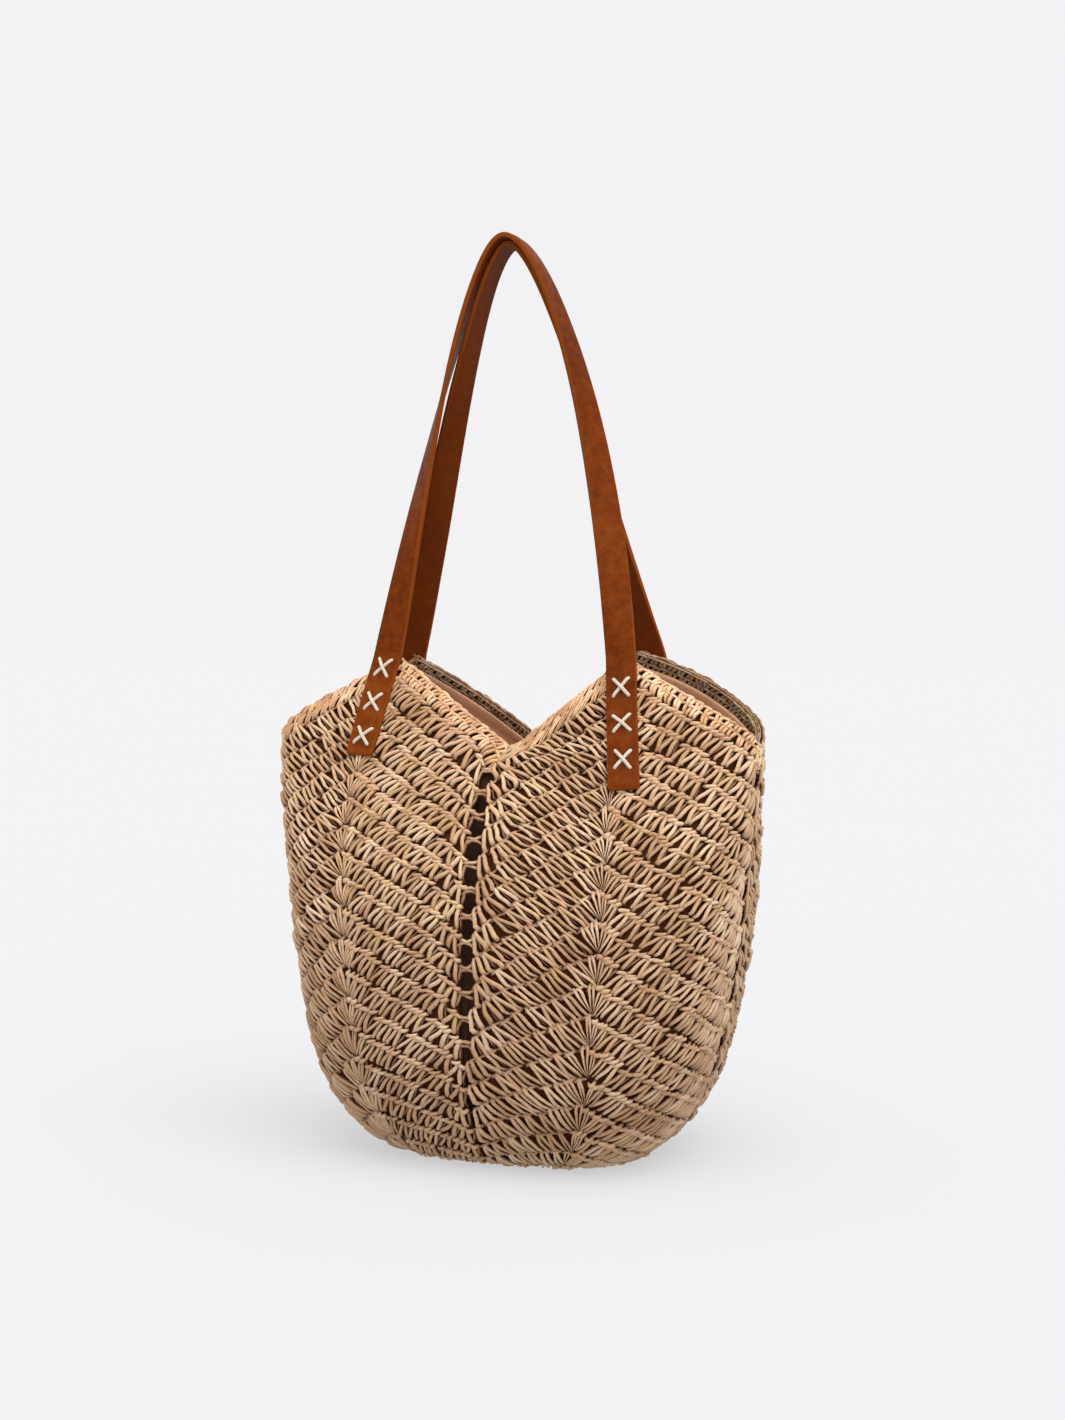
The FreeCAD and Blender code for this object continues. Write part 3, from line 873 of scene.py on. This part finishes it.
class BagLiningSettings(bpy.types.PropertyGroup):
    inset: FloatProperty(name="Inset", description="Outer face of the crochet in to the lining",
                         default=0.0066, unit="LENGTH", precision=4)
    fold: FloatProperty(name="Fold depth", description="How far the loose cloth folds inwards",
                        default=0.0035, unit="LENGTH", precision=4)
    valley_fold: FloatProperty(name="Valley fold", description="How far the cloth hangs behind the ladders",
                               default=0.009, unit="LENGTH", precision=4)
    cloth: FloatProperty(name="Cloth thickness", description="Thickness of the lining cloth",
                         default=0.0007, unit="LENGTH", precision=5)
    colour: FloatVectorProperty(name="Lining", description="Lining cloth", subtype="COLOR",
                                default=(0.80, 0.455, 0.255))


class BagHandleSettings(bpy.types.PropertyGroup):
    width: FloatProperty(name="Strap width", description="Width of the leather", default=0.0200,
                         unit="LENGTH", precision=4)
    thickness: FloatProperty(name="Strap thickness", description="Thickness of the leather", default=0.0034,
                             unit="LENGTH", precision=4)
    rise: FloatProperty(name="Handle rise", description="Rim to the top of the arch", default=0.279,
                        unit="LENGTH")
    leather: FloatVectorProperty(name="Leather", description="Main leather colour", subtype="COLOR",
                                 default=(0.150, 0.0285, 0.0030))
    leather_light: FloatVectorProperty(name="Light leather", description="Rubbed leather", subtype="COLOR",
                                       default=(0.225, 0.052, 0.0065))
    leather_dark: FloatVectorProperty(name="Dark leather", description="Deep leather tone", subtype="COLOR",
                                      default=(0.080, 0.0135, 0.0015))
    thread_radius: FloatProperty(name="Thread radius", description="Half the thickness of the sewing cord",
                                 default=0.00115, unit="LENGTH", precision=5)
    thread: FloatVectorProperty(name="Thread", description="Sewing cord", subtype="COLOR",
                                default=(0.72, 0.64, 0.50))


class BagStageSettings(bpy.types.PropertyGroup):
    azimuth: FloatProperty(name="Azimuth", description="Camera's direction round the bag, in degrees",
                           default=20.5)
    distance: FloatProperty(name="Distance", description="Camera to the bag's middle", default=1.30,
                            unit="LENGTH")
    height: FloatProperty(name="Height", description="Camera above the floor", default=0.330, unit="LENGTH")
    lens: FloatProperty(name="Lens", description="Focal length for a 36 mm long side", default=49.2)
    shift_x: FloatProperty(name="Shift across", description="Lens shift, as a share of the frame's long side",
                           default=0.0068)
    shift_y: FloatProperty(name="Shift up", description="Lens shift, as a share of the frame's long side",
                           default=-0.0418)
    key: FloatProperty(name="Key light", description="Strength of the light from above", default=2.2)
    fill: FloatProperty(name="Fill light", description="Strength of the light from the right", default=0.4)
    backdrop: FloatVectorProperty(name="Backdrop", description="Light from all round", subtype="COLOR",
                                  default=(0.889, 0.890, 0.906))
    floor: FloatVectorProperty(name="Floor", description="Floor of the studio", subtype="COLOR",
                               default=(0.230, 0.230, 0.232))
    glow: FloatProperty(name="Floor glow", description="Share of the backdrop's light off the floor",
                        default=0.60)


# ---------------------------------------------------------------- making the pieces

SHARED = {}


def crochet_parts():
    """Things that every crochet operator needs: surface, stitch tree, stitches and materials."""
    if not SHARED:
        s = bpy.context.scene.bag_crochet
        SHARED["surface"] = BodySurface(s.inset)
        SHARED["tree"] = stitch_tree()
        SHARED["stitches"] = stitch_collections(s.strand_radius * 1000.0, s.seed)
        SHARED["straw"] = straw_material("paper_straw", s.light, s.mid, s.dark, s.gap)
        # painted light: the edging's straw is the same straw made 1.32 times lighter, for the light that
        # falls on the rim, with painted shade on its side that faces the mouth
        painted_light = [tuple(min(c * 1.32, 0.92) for c in tone) for tone in (s.light, s.mid, s.dark)]
        SHARED["edging"] = straw_material("edging_straw", *painted_light, s.gap, 0.6)
        SHARED["core"] = core_material(s.gap, tuple(c * 0.4 for c in s.gap))
    return SHARED


def crochet_object(name, cells, kind, seed_step=0, straw="straw"):
    """Works one set of cells in one kind of stitch."""
    s, shared = bpy.context.scene.bag_crochet, crochet_parts()
    values = {"Stitches": shared["stitches"][kind], "Straw": shared[straw], "Relief": s.relief,
              "Unevenness": s.unevenness, "Seed": s.seed + seed_step}
    return worked(cells.points_object(name + "_cells"), shared["tree"], values, name)


def sheet_grid(meridians, lines, columns, rows, power=1.0):
    """Meridians, ways up from the lower line to the upper one, and shares, of a sheet's points."""
    q = np.linspace(*meridians, columns)[:, None] + np.zeros((1, rows))
    part = np.linspace(0.0, 1.0, rows)[None, :] ** power
    return q, part, lines[0](q) * (1 - part) + lines[1](q) * part


def core_sheet(name, surface, meridians, lines, depth, columns=40, rows=60):
    """Shaded wall that stands just behind the stitches, between two meridians and two lines."""
    q, _, t = sheet_grid(meridians, lines, columns, rows)
    pts = surface.at(q, t) - surface.normal(q, t) * depth
    return grid_object(name, pts, crochet_parts()["core"])


def valley_gap(s, row):
    """Half the width that a row leaves open at a valley: closed at the ladder's foot, open two rows up."""
    return s.ladder_gap * min(max((row - LADDER_FOOT_ROW) / 2.0, CLOSED_SHARE), 1.0)


def worked_rows(name, peaks, rows, seed_step):
    """Some rows of some petals, as two objects: slanted stitches before each petal's middle line and tall
    ones after it. In the bottom's rounds the lean grows from nothing."""
    s, shared = bpy.context.scene.bag_crochet, crochet_parts()
    surface = shared["surface"]
    halves = []
    for side, kind in ((-1, "slant"), (1, "tall")):
        cells = Cells()
        for k in rows:
            low, top = (surface.row_line(row, s.rows, EDGING_HEIGHT) for row in (k, k + 1))
            lean = (s.lean - side * s.slant) * min(k / BASE_ROWS, 1.0)
            for peak in peaks:
                add_half_row(cells, surface, peak, side, low, top, s.stitch_width, valley_gap(s, k), lean)
        halves.append(crochet_object(name + "_" + kind, cells, kind, seed_step + side))
    return halves


class BagPetalsOperator(bpy.types.Operator):
    """Work the four petals in V-shaped rows of tall stitches"""
    bl_idname = "bag.make_petals"
    bl_label = "Make petals"

    def execute(self, context):
        rows, surface = context.scene.bag_crochet.rows, crochet_parts()["surface"]
        ends = [surface.row_line(k, rows, EDGING_HEIGHT) for k in (BASE_ROWS, rows)]
        for i, (place, peak) in enumerate(PETALS.items()):
            halves = worked_rows(place, (peak,), range(BASE_ROWS, rows), 10 * i)
            meridians = (peak - 1 + CORE_MARGIN, peak + 1 - CORE_MARGIN)
            core = core_sheet(place + "_core", surface, meridians, ends, CORE_DEPTH)
            made = joined(place + "_crochet_petal", *halves, core)
            finish_piece(made, "bag", "straw", place + "_petal")
        return {"FINISHED"}


class BagBaseOperator(bpy.types.Operator):
    """Work the bottom in rounds from its middle outwards"""
    bl_idname = "bag.make_base"
    bl_label = "Make base"

    def execute(self, context):
        rows, surface = context.scene.bag_crochet.rows, crochet_parts()["surface"]
        ends = [surface.row_line(k, rows, EDGING_HEIGHT) for k in (0, BASE_ROWS)]
        halves = worked_rows("bottom", PETALS.values(), range(BASE_ROWS), 50)
        core = core_sheet("bottom_core", surface, (0.0, 8.0), ends, CORE_DEPTH, 129, 24)
        made = joined("crochet_bottom", *halves, core)
        press_flat(made)
        finish_piece(made, "bag", "straw", "crochet_base")
        return {"FINISHED"}


class BagLaddersOperator(bpy.types.Operator):
    """Bridge the valleys with single strands"""
    bl_idname = "bag.make_ladders"
    bl_label = "Make ladders"

    def execute(self, context):
        s, surface = context.scene.bag_crochet, crochet_parts()["surface"]
        for i, (place, valley) in enumerate(VALLEYS.items()):
            cells = Cells()
            for k in range(LADDER_FOOT_ROW, s.rows + 1):
                line = surface.row_line(k, s.rows, EDGING_HEIGHT)
                centre = surface.at(valley, line(valley))
                q = valley + np.array([-0.02, 0.02])
                side_way = surface.at(q[1], line(q[1])) - surface.at(q[0], line(q[0]))
                side_way[2] = 0.0
                side_way /= np.linalg.norm(side_way)
                out = surface.normal(valley, line(valley))
                up = np.cross(out, side_way)
                half = valley_gap(s, k + 1)
                corners = [centre + side_way * (half * across) + up * (RUNG_RISE * rise)
                           for rise in (-1, 1) for across in (-1, 1)]
                cells.add(*[c[None, :] for c in corners], out[None, :], out[None, :])
            made = crochet_object(place + "_crochet_ladder", cells, "rung", 60 + i)
            finish_piece(made, "bag", "straw", place + "_ladder")
        return {"FINISHED"}


class BagEdgingOperator(bpy.types.Operator):
    """Work the dense edging rows and the chain along the zigzag rim"""
    bl_idname = "bag.make_edging"
    bl_label = "Make edging"

    def execute(self, context):
        width, surface = context.scene.bag_crochet.edging_width, crochet_parts()["surface"]
        inner = BodySurface(EDGING_INSET)
        ends = [surface.line(surface.under_rim(drop)) for drop in EDGING_CORE_DROPS]
        for i, (place, peak) in enumerate(PETALS.items()):
            cells, links = Cells(), Cells()
            for face in (surface, inner):
                lines = [face.line(face.under_rim(drop)) for drop in EDGING_DROPS]
                for low, top in zip(lines[:-1], lines[1:]):
                    for side in (-1, 1):
                        add_half_row(cells, face, peak, side, low, top, width, 0.0)
                        if face is inner:
                            cells.turn_last()
            self.add_chain(links, surface, inner, peak, width)
            rows = crochet_object(place + "_crochet_edging", cells, "low", 70 + i, "edging")
            chain = crochet_object(place + "_rim_chain", links, "link", 80 + i, "edging")
            core = core_sheet(place + "_edging_core", surface, (peak - 1, peak + 1), ends, EDGING_CORE_DEPTH,
                              rows=5)
            made = joined(place + "_crochet_edging", rows, chain, core)
            finish_piece(made, "bag", "straw", place + "_edging")
        return {"FINISHED"}

    def add_chain(self, links, surface, inner, peak, width):
        """Links that lie across the top of the rim, from its inner to its outer face."""
        near_line = surface.line(surface.under_rim(CHAIN_DROP))
        far_line = inner.line(inner.under_rim(CHAIN_DROP))
        for side in (-1, 1):
            count = int(round(line_length(surface, peak, side, near_line) / width))
            q, t = spaced_on_line(surface, peak, side, near_line, np.linspace(0.0, 1.0, count + 1))
            near = surface.at(q, t)
            far = inner.at(q, far_line(q))
            out = near - far
            near = near + out * CHAIN_OVERHANG
            far = far - out * CHAIN_OVERHANG
            up = np.cross(np.gradient(near, axis=0) * side, -out)
            up /= np.linalg.norm(up, axis=1, keepdims=True)
            a, b = (slice(0, -1), slice(1, None)) if side > 0 else (slice(1, None), slice(0, -1))
            links.add(near[a], near[b], far[a], far[b], up[a], up[a])


class BagLiningOperator(bpy.types.Operator):
    """Hang the cloth lining inside, with its folded top hem"""
    bl_idname = "bag.make_lining"
    bl_label = "Make lining"

    def execute(self, context):
        s = context.scene.bag_lining
        cloth = lining_material(s.colour)
        surface = BodySurface(s.inset)
        top = surface.line(surface.under_rim(LINING_DROP))
        floor = surface.line(np.full_like(surface.meridians, LINING_FLOOR))
        for name, meridians in (("lining_front", (-2.0, 2.0)), ("lining_back", (2.0, 6.0))):
            self.panel(name, surface, cloth, meridians, (floor, top), hem=True)
        middle = surface.line(np.zeros_like(surface.meridians))
        self.panel("lining_bottom", surface, cloth, (0.0, 8.0), (middle, floor), hem=False)
        return {"FINISHED"}

    def panel(self, name, surface, cloth, meridians, lines, hem):
        """One panel of loose cloth. A panel with a hem also hangs back from the ladders."""
        s = bpy.context.scene.bag_lining
        q, part, t = sheet_grid(meridians, lines, 161, 70, 0.85 if hem else 1.0)
        angle = q * math.pi / 4.0
        slack = (np.sin(23 * angle + 6 * part) * 0.5 + np.sin(37 * angle - 9 * part + 1.0) * 0.3
                 + np.sin(11 * angle + 14 * part) * 0.6 + np.sin(5 * angle + 21 * part + 2.0) * 0.35)
        window = np.sin(math.pi * np.clip(part, 0.0, 1.0)) ** 0.7 if hem else np.sin(math.pi * part)
        fold = s.fold * (0.5 + 0.5 * slack / 1.4) * window
        if hem:
            hem_step = np.clip((part - HEM_SHARE) / 0.01, 0.0, 1.0) * HEM_STEP
            fold = fold * np.clip((HEM_SHARE - part) / 0.08, 0.0, 1.0) + hem_step
            below_rim = np.clip((0.86 - part) / 0.12, 0.0, 1.0) * window
            fold += s.valley_fold * np.exp(-(peakness(q) / 0.14) ** 2) * below_rim
        pts = surface.at(q, t) - surface.normal(q, t) * fold[..., None]
        pts[..., 2] = np.maximum(pts[..., 2], s.inset)
        made = grid_object(name + "_cloth", pts, cloth)
        thick = made.modifiers.new("cloth", "SOLIDIFY")
        thick.thickness = s.cloth
        thick.offset = -1.0
        joined(name + "_cloth", made)
        bpy.ops.object.modifier_apply(modifier="cloth")
        finish_piece(made, "bag", "lining", name)


# ---------------------------------------------------------------- handles

TIP_X = 0.082                # a handle's ends at the rim, from the middle of the mouth
BACK_SPREAD = 0.005          # the back handle's ends stand this much further out
TAB_SPREAD = 0.14            # how far the sewn ends run outwards, for each unit down
SEW_GAP = 0.0010
FRAME_STEP = 0.0015
# Length of each sewn end, and the first cross stitch's drop below the tip
TAB_DROPS = {"front_left": 0.066, "front_right": 0.085, "back_left": 0.080, "back_right": 0.070}
STITCH_STARTS = {"front_left": 0.009, "front_right": 0.021, "back_left": 0.019, "back_right": 0.012}
STITCH_PITCH = 0.0225
SPLIT_GAP = 0.0006
ARCH_POWER = 1.7
TWIST_POWER = 2.3            # how soon a strap turns from facing out to lying flat over the arch
CLOSING_POWER = 4.0          # how soon the two straps close up
TOP_DEPTH = 0.0035           # the two straps overlap at the top, the front one outside
NEST_TOP = 0.0020            # front strap outwards and back strap inwards, at the top
NEST_LEG = 0.0023            # and on the legs
TOP_LEAN = -0.0045


def unit(v):
    return v / np.linalg.norm(v)


def wall_depth(x, z):
    half_w, half_d = half_sizes(z)
    return half_d * (1.0 - min(abs(x) / half_w, 1.0) ** SQUARENESS) ** (1.0 / SQUARENESS)


def handle_reach(depth):
    """Distance of a handle's ends from the middle of the mouth."""
    return TIP_X + (BACK_SPREAD if depth > 0 else 0.0)


def wall_frame(side, depth, drop, lift):
    """Point and directions on a petal's outer face, at a drop below the tip."""
    x, z, step = side * (handle_reach(depth) + TAB_SPREAD * drop), TIP_HEIGHT - drop, 0.001
    point = np.array([x, depth * wall_depth(x, z), z])
    x_low = side * (handle_reach(depth) + TAB_SPREAD * (drop + step))
    down = unit(np.array([x_low, depth * wall_depth(x_low, z - step), z - step]) - point)
    across = unit(np.array([x + step, depth * wall_depth(x + step, z), z]) - point)
    across = unit(across - down * across.dot(down))
    out = unit(np.cross(down, across))
    if out[1] * depth < 0:
        out = -out
    return point + out * lift + np.array([mouth_lean(z), 0.0, 0.0]), down, across, out


def strap_frames(depth, s):
    """Centres, width and outward directions, from the left sewn end over the arch to the right one."""
    names = ("front_left", "front_right") if depth < 0 else ("back_left", "back_right")
    lift = SEW_GAP + s.thickness / 2
    foot_out = wall_frame(1, -1, 0.0, 0.0)[3]
    foot_depth = wall_depth(TIP_X, TIP_HEIGHT) + lift / abs(foot_out[1])
    frames = []
    for drop in np.arange(TAB_DROPS[names[0]], FRAME_STEP / 3, -FRAME_STEP):
        centre, down, _, out = wall_frame(-1, depth, drop, lift)
        frames.append((centre, unit(np.cross(out, -down)), out))

    def middle(share, side):
        left = 1.0 - share
        reach = TIP_X + (handle_reach(depth) - TIP_X) * left ** 5
        return np.array([side * reach * left + MOUTH_LEAN + TOP_LEAN * share ** 2,
                         depth * (TOP_DEPTH + (foot_depth - TOP_DEPTH) * left ** CLOSING_POWER),
                         TIP_HEIGHT + SPLIT_GAP + s.rise * (1.0 - left ** ARCH_POWER)])

    def arch(share, side):
        rise = middle(min(share + 0.01, 1.0), side) - middle(max(share - 0.01, 0.0), side)
        outward = unit(np.array([rise[2] * side, 0.0, -rise[0] * side]))
        left = 1.0 - share
        apart = NEST_TOP * (1.0 - left ** 3) + NEST_LEG * 6.75 * share * left ** 2
        return middle(share, side) - outward * (depth * apart)

    for position in np.linspace(-1.0, 1.0, 321):
        side = -1 if position < 0 else 1
        share = 1.0 - abs(position) * (0.35 + 0.65 * abs(position))
        along = unit((arch(min(share + 0.01, 1.0), side) - arch(max(share - 0.01, 0.0), side)) * -side)
        if share > 0.995:
            along = np.array([1.0, 0.0, 0.0])
        turn = math.pi / 2 * (1.0 - (1.0 - share) ** TWIST_POWER)
        facing = np.array([0.0, -1.0, 0.0])
        facing = unit(facing - along * facing.dot(along))
        crown = np.cross(along, facing)
        out = unit(facing * (math.cos(turn) * -depth) - crown * math.sin(turn))
        frames.append((arch(share, side), unit(np.cross(out, along)), out))
    for drop in np.arange(FRAME_STEP, TAB_DROPS[names[1]], FRAME_STEP):
        centre, down, _, out = wall_frame(1, depth, drop, lift)
        frames.append((centre, unit(np.cross(out, down)), out))
    return [np.array(values) for values in zip(*frames)]


def softened(values, passes):
    """The same rows with small kinks evened out; the ends stay."""
    for _ in range(passes):
        values[1:-1] = values[1:-1] * 0.5 + (values[:-2] + values[2:]) * 0.25
    return values


def even_frames(centres, acrosses, outs, spacing):
    """Frames spaced evenly along the strap."""
    run = run_along(centres)
    where = np.linspace(0.0, run[-1], int(run[-1] / spacing))
    return [np.stack([np.interp(where, run, rows[:, k]) for k in range(3)], axis=1)
            for rows in (centres, acrosses, outs)]


def strap_profile(s):
    """Half outline of the leather's section: places across and out, edge wear and flesh side."""
    half_w, half_t, bevel = s.width / 2, s.thickness / 2, 0.0008
    flat = np.linspace(-half_w + bevel, half_w - bevel, 15)
    crown = 0.00018 * (1.0 - (flat / half_w) ** 2)
    groove = -0.00022 * np.exp(-((np.abs(flat) - half_w + 0.0026) / 0.0005) ** 2)
    rows = [(x, half_t + c + g, 0.0, 0.0) for x, c, g in zip(flat, crown, groove)]
    corner = [(half_w - bevel * (1 - math.sin(a)), half_t - bevel * (1 - math.cos(a)), 1.0, 0.0)
              for a in (math.pi / 4, math.pi / 2)]
    rows += corner
    rows += [(x, -y, 1.0, 0.3) for x, y, _, _ in corner[::-1]]
    rows += [(x, -half_t, 0.0, 1.0) for x in flat[::-1]]
    rows += [(-x, -y, 1.0, 0.3) for x, y, _, _ in corner]
    rows += [(-x, y, 1.0, 0.0) for x, y, _, _ in corner[::-1]]
    return np.array(rows)


def strap_object(name, depth, s, leather):
    """One handle: a single strap with rounded ends, creased where it bends over the rim."""
    centres, acrosses, outs = even_frames(*strap_frames(depth, s), 0.0014)
    centres, acrosses, outs = softened(centres, 10), softened(acrosses, 10), softened(outs, 10)
    alongs = np.gradient(centres, axis=0)
    alongs /= np.linalg.norm(alongs, axis=1, keepdims=True)
    outs -= alongs * (outs * alongs).sum(axis=1, keepdims=True)
    outs /= np.linalg.norm(outs, axis=1, keepdims=True)
    acrosses = np.cross(outs, alongs)
    profile = strap_profile(s)
    run = run_along(centres)
    to_end = np.minimum(run, run[-1] - run)
    corner = 0.0018
    inside = np.clip(to_end / corner, 0.0, 1.0)
    narrow = 1.0 - (corner / (s.width / 2)) * 0.75 * (1.0 - np.sqrt(1.0 - (1.0 - inside) ** 2))
    thin = 1.0 - 0.35 * (1.0 - np.clip(to_end / 0.0008, 0.0, 1.0)) ** 2
    count = len(profile)
    verts, edge, flesh = [], [], []
    rim = TIP_HEIGHT + 0.006
    for i, centre in enumerate(centres):
        near_rim = math.exp(-((centre[2] - rim) / 0.011) ** 2)
        for x, y, worn, inner in profile:
            crease = 0.0
            if inner < 0.5:
                ripple = math.sin(run[i] * 1500.0 + 60.0 * x) + 0.6 * math.sin(run[i] * 2600.0 - 150.0 * x)
                crease = 0.00022 * near_rim * ripple
            wave = 0.0003 * math.sin(run[i] * 55.0 + depth) * math.cos(x * 130.0)
            point = centre + acrosses[i] * (x * narrow[i]) + outs[i] * (y * thin[i] + crease + wave)
            verts.append(point)
            edge.append(max(worn, 1.0 - to_end[i] / 0.0012))
            flesh.append(inner)
    faces = []
    for i in range(len(centres) - 1):
        for j in range(count):
            k = (j + 1) % count
            faces.append((i * count + j, i * count + k, (i + 1) * count + k, (i + 1) * count + j))
    faces.append(tuple(range(count))[::-1])
    faces.append(tuple((len(centres) - 1) * count + j for j in range(count)))
    mesh = bpy.data.meshes.new(name)
    mesh.from_pydata([tuple(v) for v in verts], [], faces)
    for label, values in (("edge", edge), ("flesh", flesh)):
        mesh.attributes.new(label, "FLOAT", "POINT").data.foreach_set("value", np.clip(values, 0.0, 1.0))
    bm = bmesh.new()
    bm.from_mesh(mesh)
    bmesh.ops.triangulate(bm, faces=[f for f in bm.faces if len(f.verts) > 4])
    bmesh.ops.recalc_face_normals(bm, faces=bm.faces)
    bm.to_mesh(mesh)
    bm.free()
    return placed(name, smoothed(mesh, leather))


class BagHandlesOperator(bpy.types.Operator):
    """Cut the two leather handles and bend them over the rim into their arches"""
    bl_idname = "bag.make_handles"
    bl_label = "Make handles"

    def execute(self, context):
        s = context.scene.bag_handles
        leather = leather_material(s.leather, s.leather_light, s.leather_dark)
        for place, depth in (("front", -1), ("back", 1)):
            made = strap_object(place + "_leather_handle", depth, s, leather)
            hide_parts(place + "_handle_strap", place + "_left_handle_end",
                        place + "_right_handle_end")
            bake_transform(made)
        return {"FINISHED"}


class BagCrossStitchOperator(bpy.types.Operator):
    """Sew each leather end down with three crosses of thick cord"""
    bl_idname = "bag.make_cross_stitches"
    bl_label = "Make cross stitches"

    def execute(self, context):
        s = context.scene.bag_handles
        cord = thread_material(s.thread)
        rng = np.random.default_rng(5)
        places = {"front_left": (-1, -1), "front_right": (1, -1), "back_left": (-1, 1), "back_right": (1, 1)}
        for name, (side, depth) in places.items():
            bm = bmesh.new()
            layers = (bm.verts.layers.float.new("along"), bm.verts.layers.float.new("around"))
            for i in range(3):
                drop = STITCH_STARTS[name] + i * STITCH_PITCH
                self.cross(bm, layers, wall_frame(side, depth, drop, SEW_GAP + s.thickness), s, rng)
            mesh = bpy.data.meshes.new(name + "_thread")
            bm.to_mesh(mesh)
            bm.free()
            made = placed(name + "_cross_threads", smoothed(mesh, cord))
            finish_piece(made, "bag", "thread", name + "_cross_stitches")
        return {"FINISHED"}

    def cross(self, bm, layers, place, s, rng):
        """Two crossing strands that dive into the leather at their ends."""
        centre, down, across, out = place
        r = s.thread_radius
        for layer, lean in enumerate((-1, 1)):
            turn = rng.normal(0.0, 0.05)
            half_w = across * (0.0050 * (1 + turn))
            half_h = down * (0.0056 * (1 - turn))
            way = half_h + half_w * lean
            top = 0.8 * r + layer * 1.25 * r
            path = []
            for share, lift in ((-1.08, -2.2 * r), (-1.0, 0.1 * r), (-0.7, 0.75 * r), (0.0, top),
                                (0.7, 0.75 * r), (1.0, 0.1 * r), (1.08, -2.2 * r)):
                path.append((*(centre + way * share + out * lift) * 1000.0, r * 1000.0))
            add_strand(bm, layers, path, 19, 10, np.array([0.001, 0.001, 0.001]))


# ---------------------------------------------------------------- stage

def sun_light(name, towards, strength, softness):
    """Even light from one direction, given as the way towards it, with a soft edge in degrees."""
    data = bpy.data.lights.new(name, "SUN")
    data.energy = strength
    data.angle = math.radians(softness)
    placed(name, data).rotation_euler = Vector(towards).to_track_quat("Z", "Y").to_euler()


class BagStageOperator(bpy.types.Operator):
    """Set the camera, the soft lights and the pale floor"""
    bl_idname = "bag.make_stage"
    bl_label = "Make stage"

    def execute(self, context):
        s = context.scene.bag_stage
        angle = math.radians(s.azimuth)
        data = bpy.data.cameras.new("camera")
        data.lens = s.lens
        data.sensor_width = 36.0
        data.shift_x = s.shift_x
        data.shift_y = s.shift_y
        camera = placed("camera", data)
        camera.location = (s.distance * math.sin(angle), -s.distance * math.cos(angle), s.height)
        camera.rotation_euler = (math.pi / 2, 0.0, angle)
        context.scene.camera = camera
        self.floor(s)
        sun_light("key_light", (0.60, -0.65, 1.9), s.key, 60.0)
        sun_light("fill_light", (0.9, -0.5, 0.8), s.fill, 70.0)
        world = bpy.data.worlds.new("studio")
        world.use_nodes = True
        sky = world.node_tree.nodes["Background"].inputs
        sky["Color"].default_value = (*s.backdrop, 1.0)
        sky["Strength"].default_value = 1.0
        context.scene.world = world
        context.scene.view_settings.view_transform = "Standard"
        return {"FINISHED"}

    def floor(self, s):
        """A wide flat floor that glows a little, so that the bag's shadow on it is faint."""
        ground, tree, shader = material("studio_floor")
        tone = object_noise(tree, 3.0)
        pale = ramp(tree, tone, (0.3, tuple(c * 0.995 for c in s.floor)), (0.7, tuple(s.floor)))
        tree.links.new(pale, shader.inputs["Base Color"])
        shader.inputs["Roughness"].default_value = 1.0
        shader.inputs["Specular IOR Level"].default_value = 0.0
        shader.inputs["Emission Color"].default_value = (*s.backdrop, 1.0)
        shader.inputs["Emission Strength"].default_value = s.glow
        half = 40.0
        corners = [(x, y, 0.0) for x, y in ((-half, -half), (half, -half), (half, half), (-half, half))]
        mesh = bpy.data.meshes.new("floor")
        mesh.from_pydata(corners, [], [(0, 1, 2, 3)])
        mesh.materials.append(ground)
        placed("floor", mesh)


OPERATORS = (BagStageOperator, BagPetalsOperator, BagBaseOperator, BagLaddersOperator, BagEdgingOperator,
             BagLiningOperator, BagHandlesOperator, BagCrossStitchOperator)
SETTINGS = {"bag_crochet": BagCrochetSettings, "bag_lining": BagLiningSettings,
            "bag_handles": BagHandleSettings, "bag_stage": BagStageSettings}


class BagPanel(bpy.types.Panel):
    """Sizes, colours and steps of the beach bag"""
    bl_idname = "VIEW3D_PT_beach_bag"
    bl_label = "Beach Bag"
    bl_space_type = "VIEW_3D"
    bl_region_type = "UI"
    bl_category = "Beach Bag"

    def draw(self, context):
        for name, group in SETTINGS.items():
            box = self.layout.box()
            for prop in group.__annotations__:
                box.prop(getattr(context.scene, name), prop)
        for operator in OPERATORS:
            self.layout.operator(operator.bl_idname)


CLASSES = (*SETTINGS.values(), *OPERATORS, BagPanel)


def register():
    for cls in CLASSES:
        bpy.utils.register_class(cls)
    for name, group in SETTINGS.items():
        setattr(bpy.types.Scene, name, PointerProperty(type=group))


def unregister():
    for name in SETTINGS:
        delattr(bpy.types.Scene, name)
    for cls in reversed(CLASSES):
        bpy.utils.unregister_class(cls)


def main():
    register()
    bpy.ops.bag.make_stage()
    bpy.ops.bag.make_petals()
    bpy.ops.bag.make_base()
    bpy.ops.bag.make_ladders()
    bpy.ops.bag.make_edging()
    bpy.ops.bag.make_lining()
    bpy.ops.bag.make_handles()
    bpy.ops.bag.make_cross_stitches()


if __name__ == "__main__":
    main()
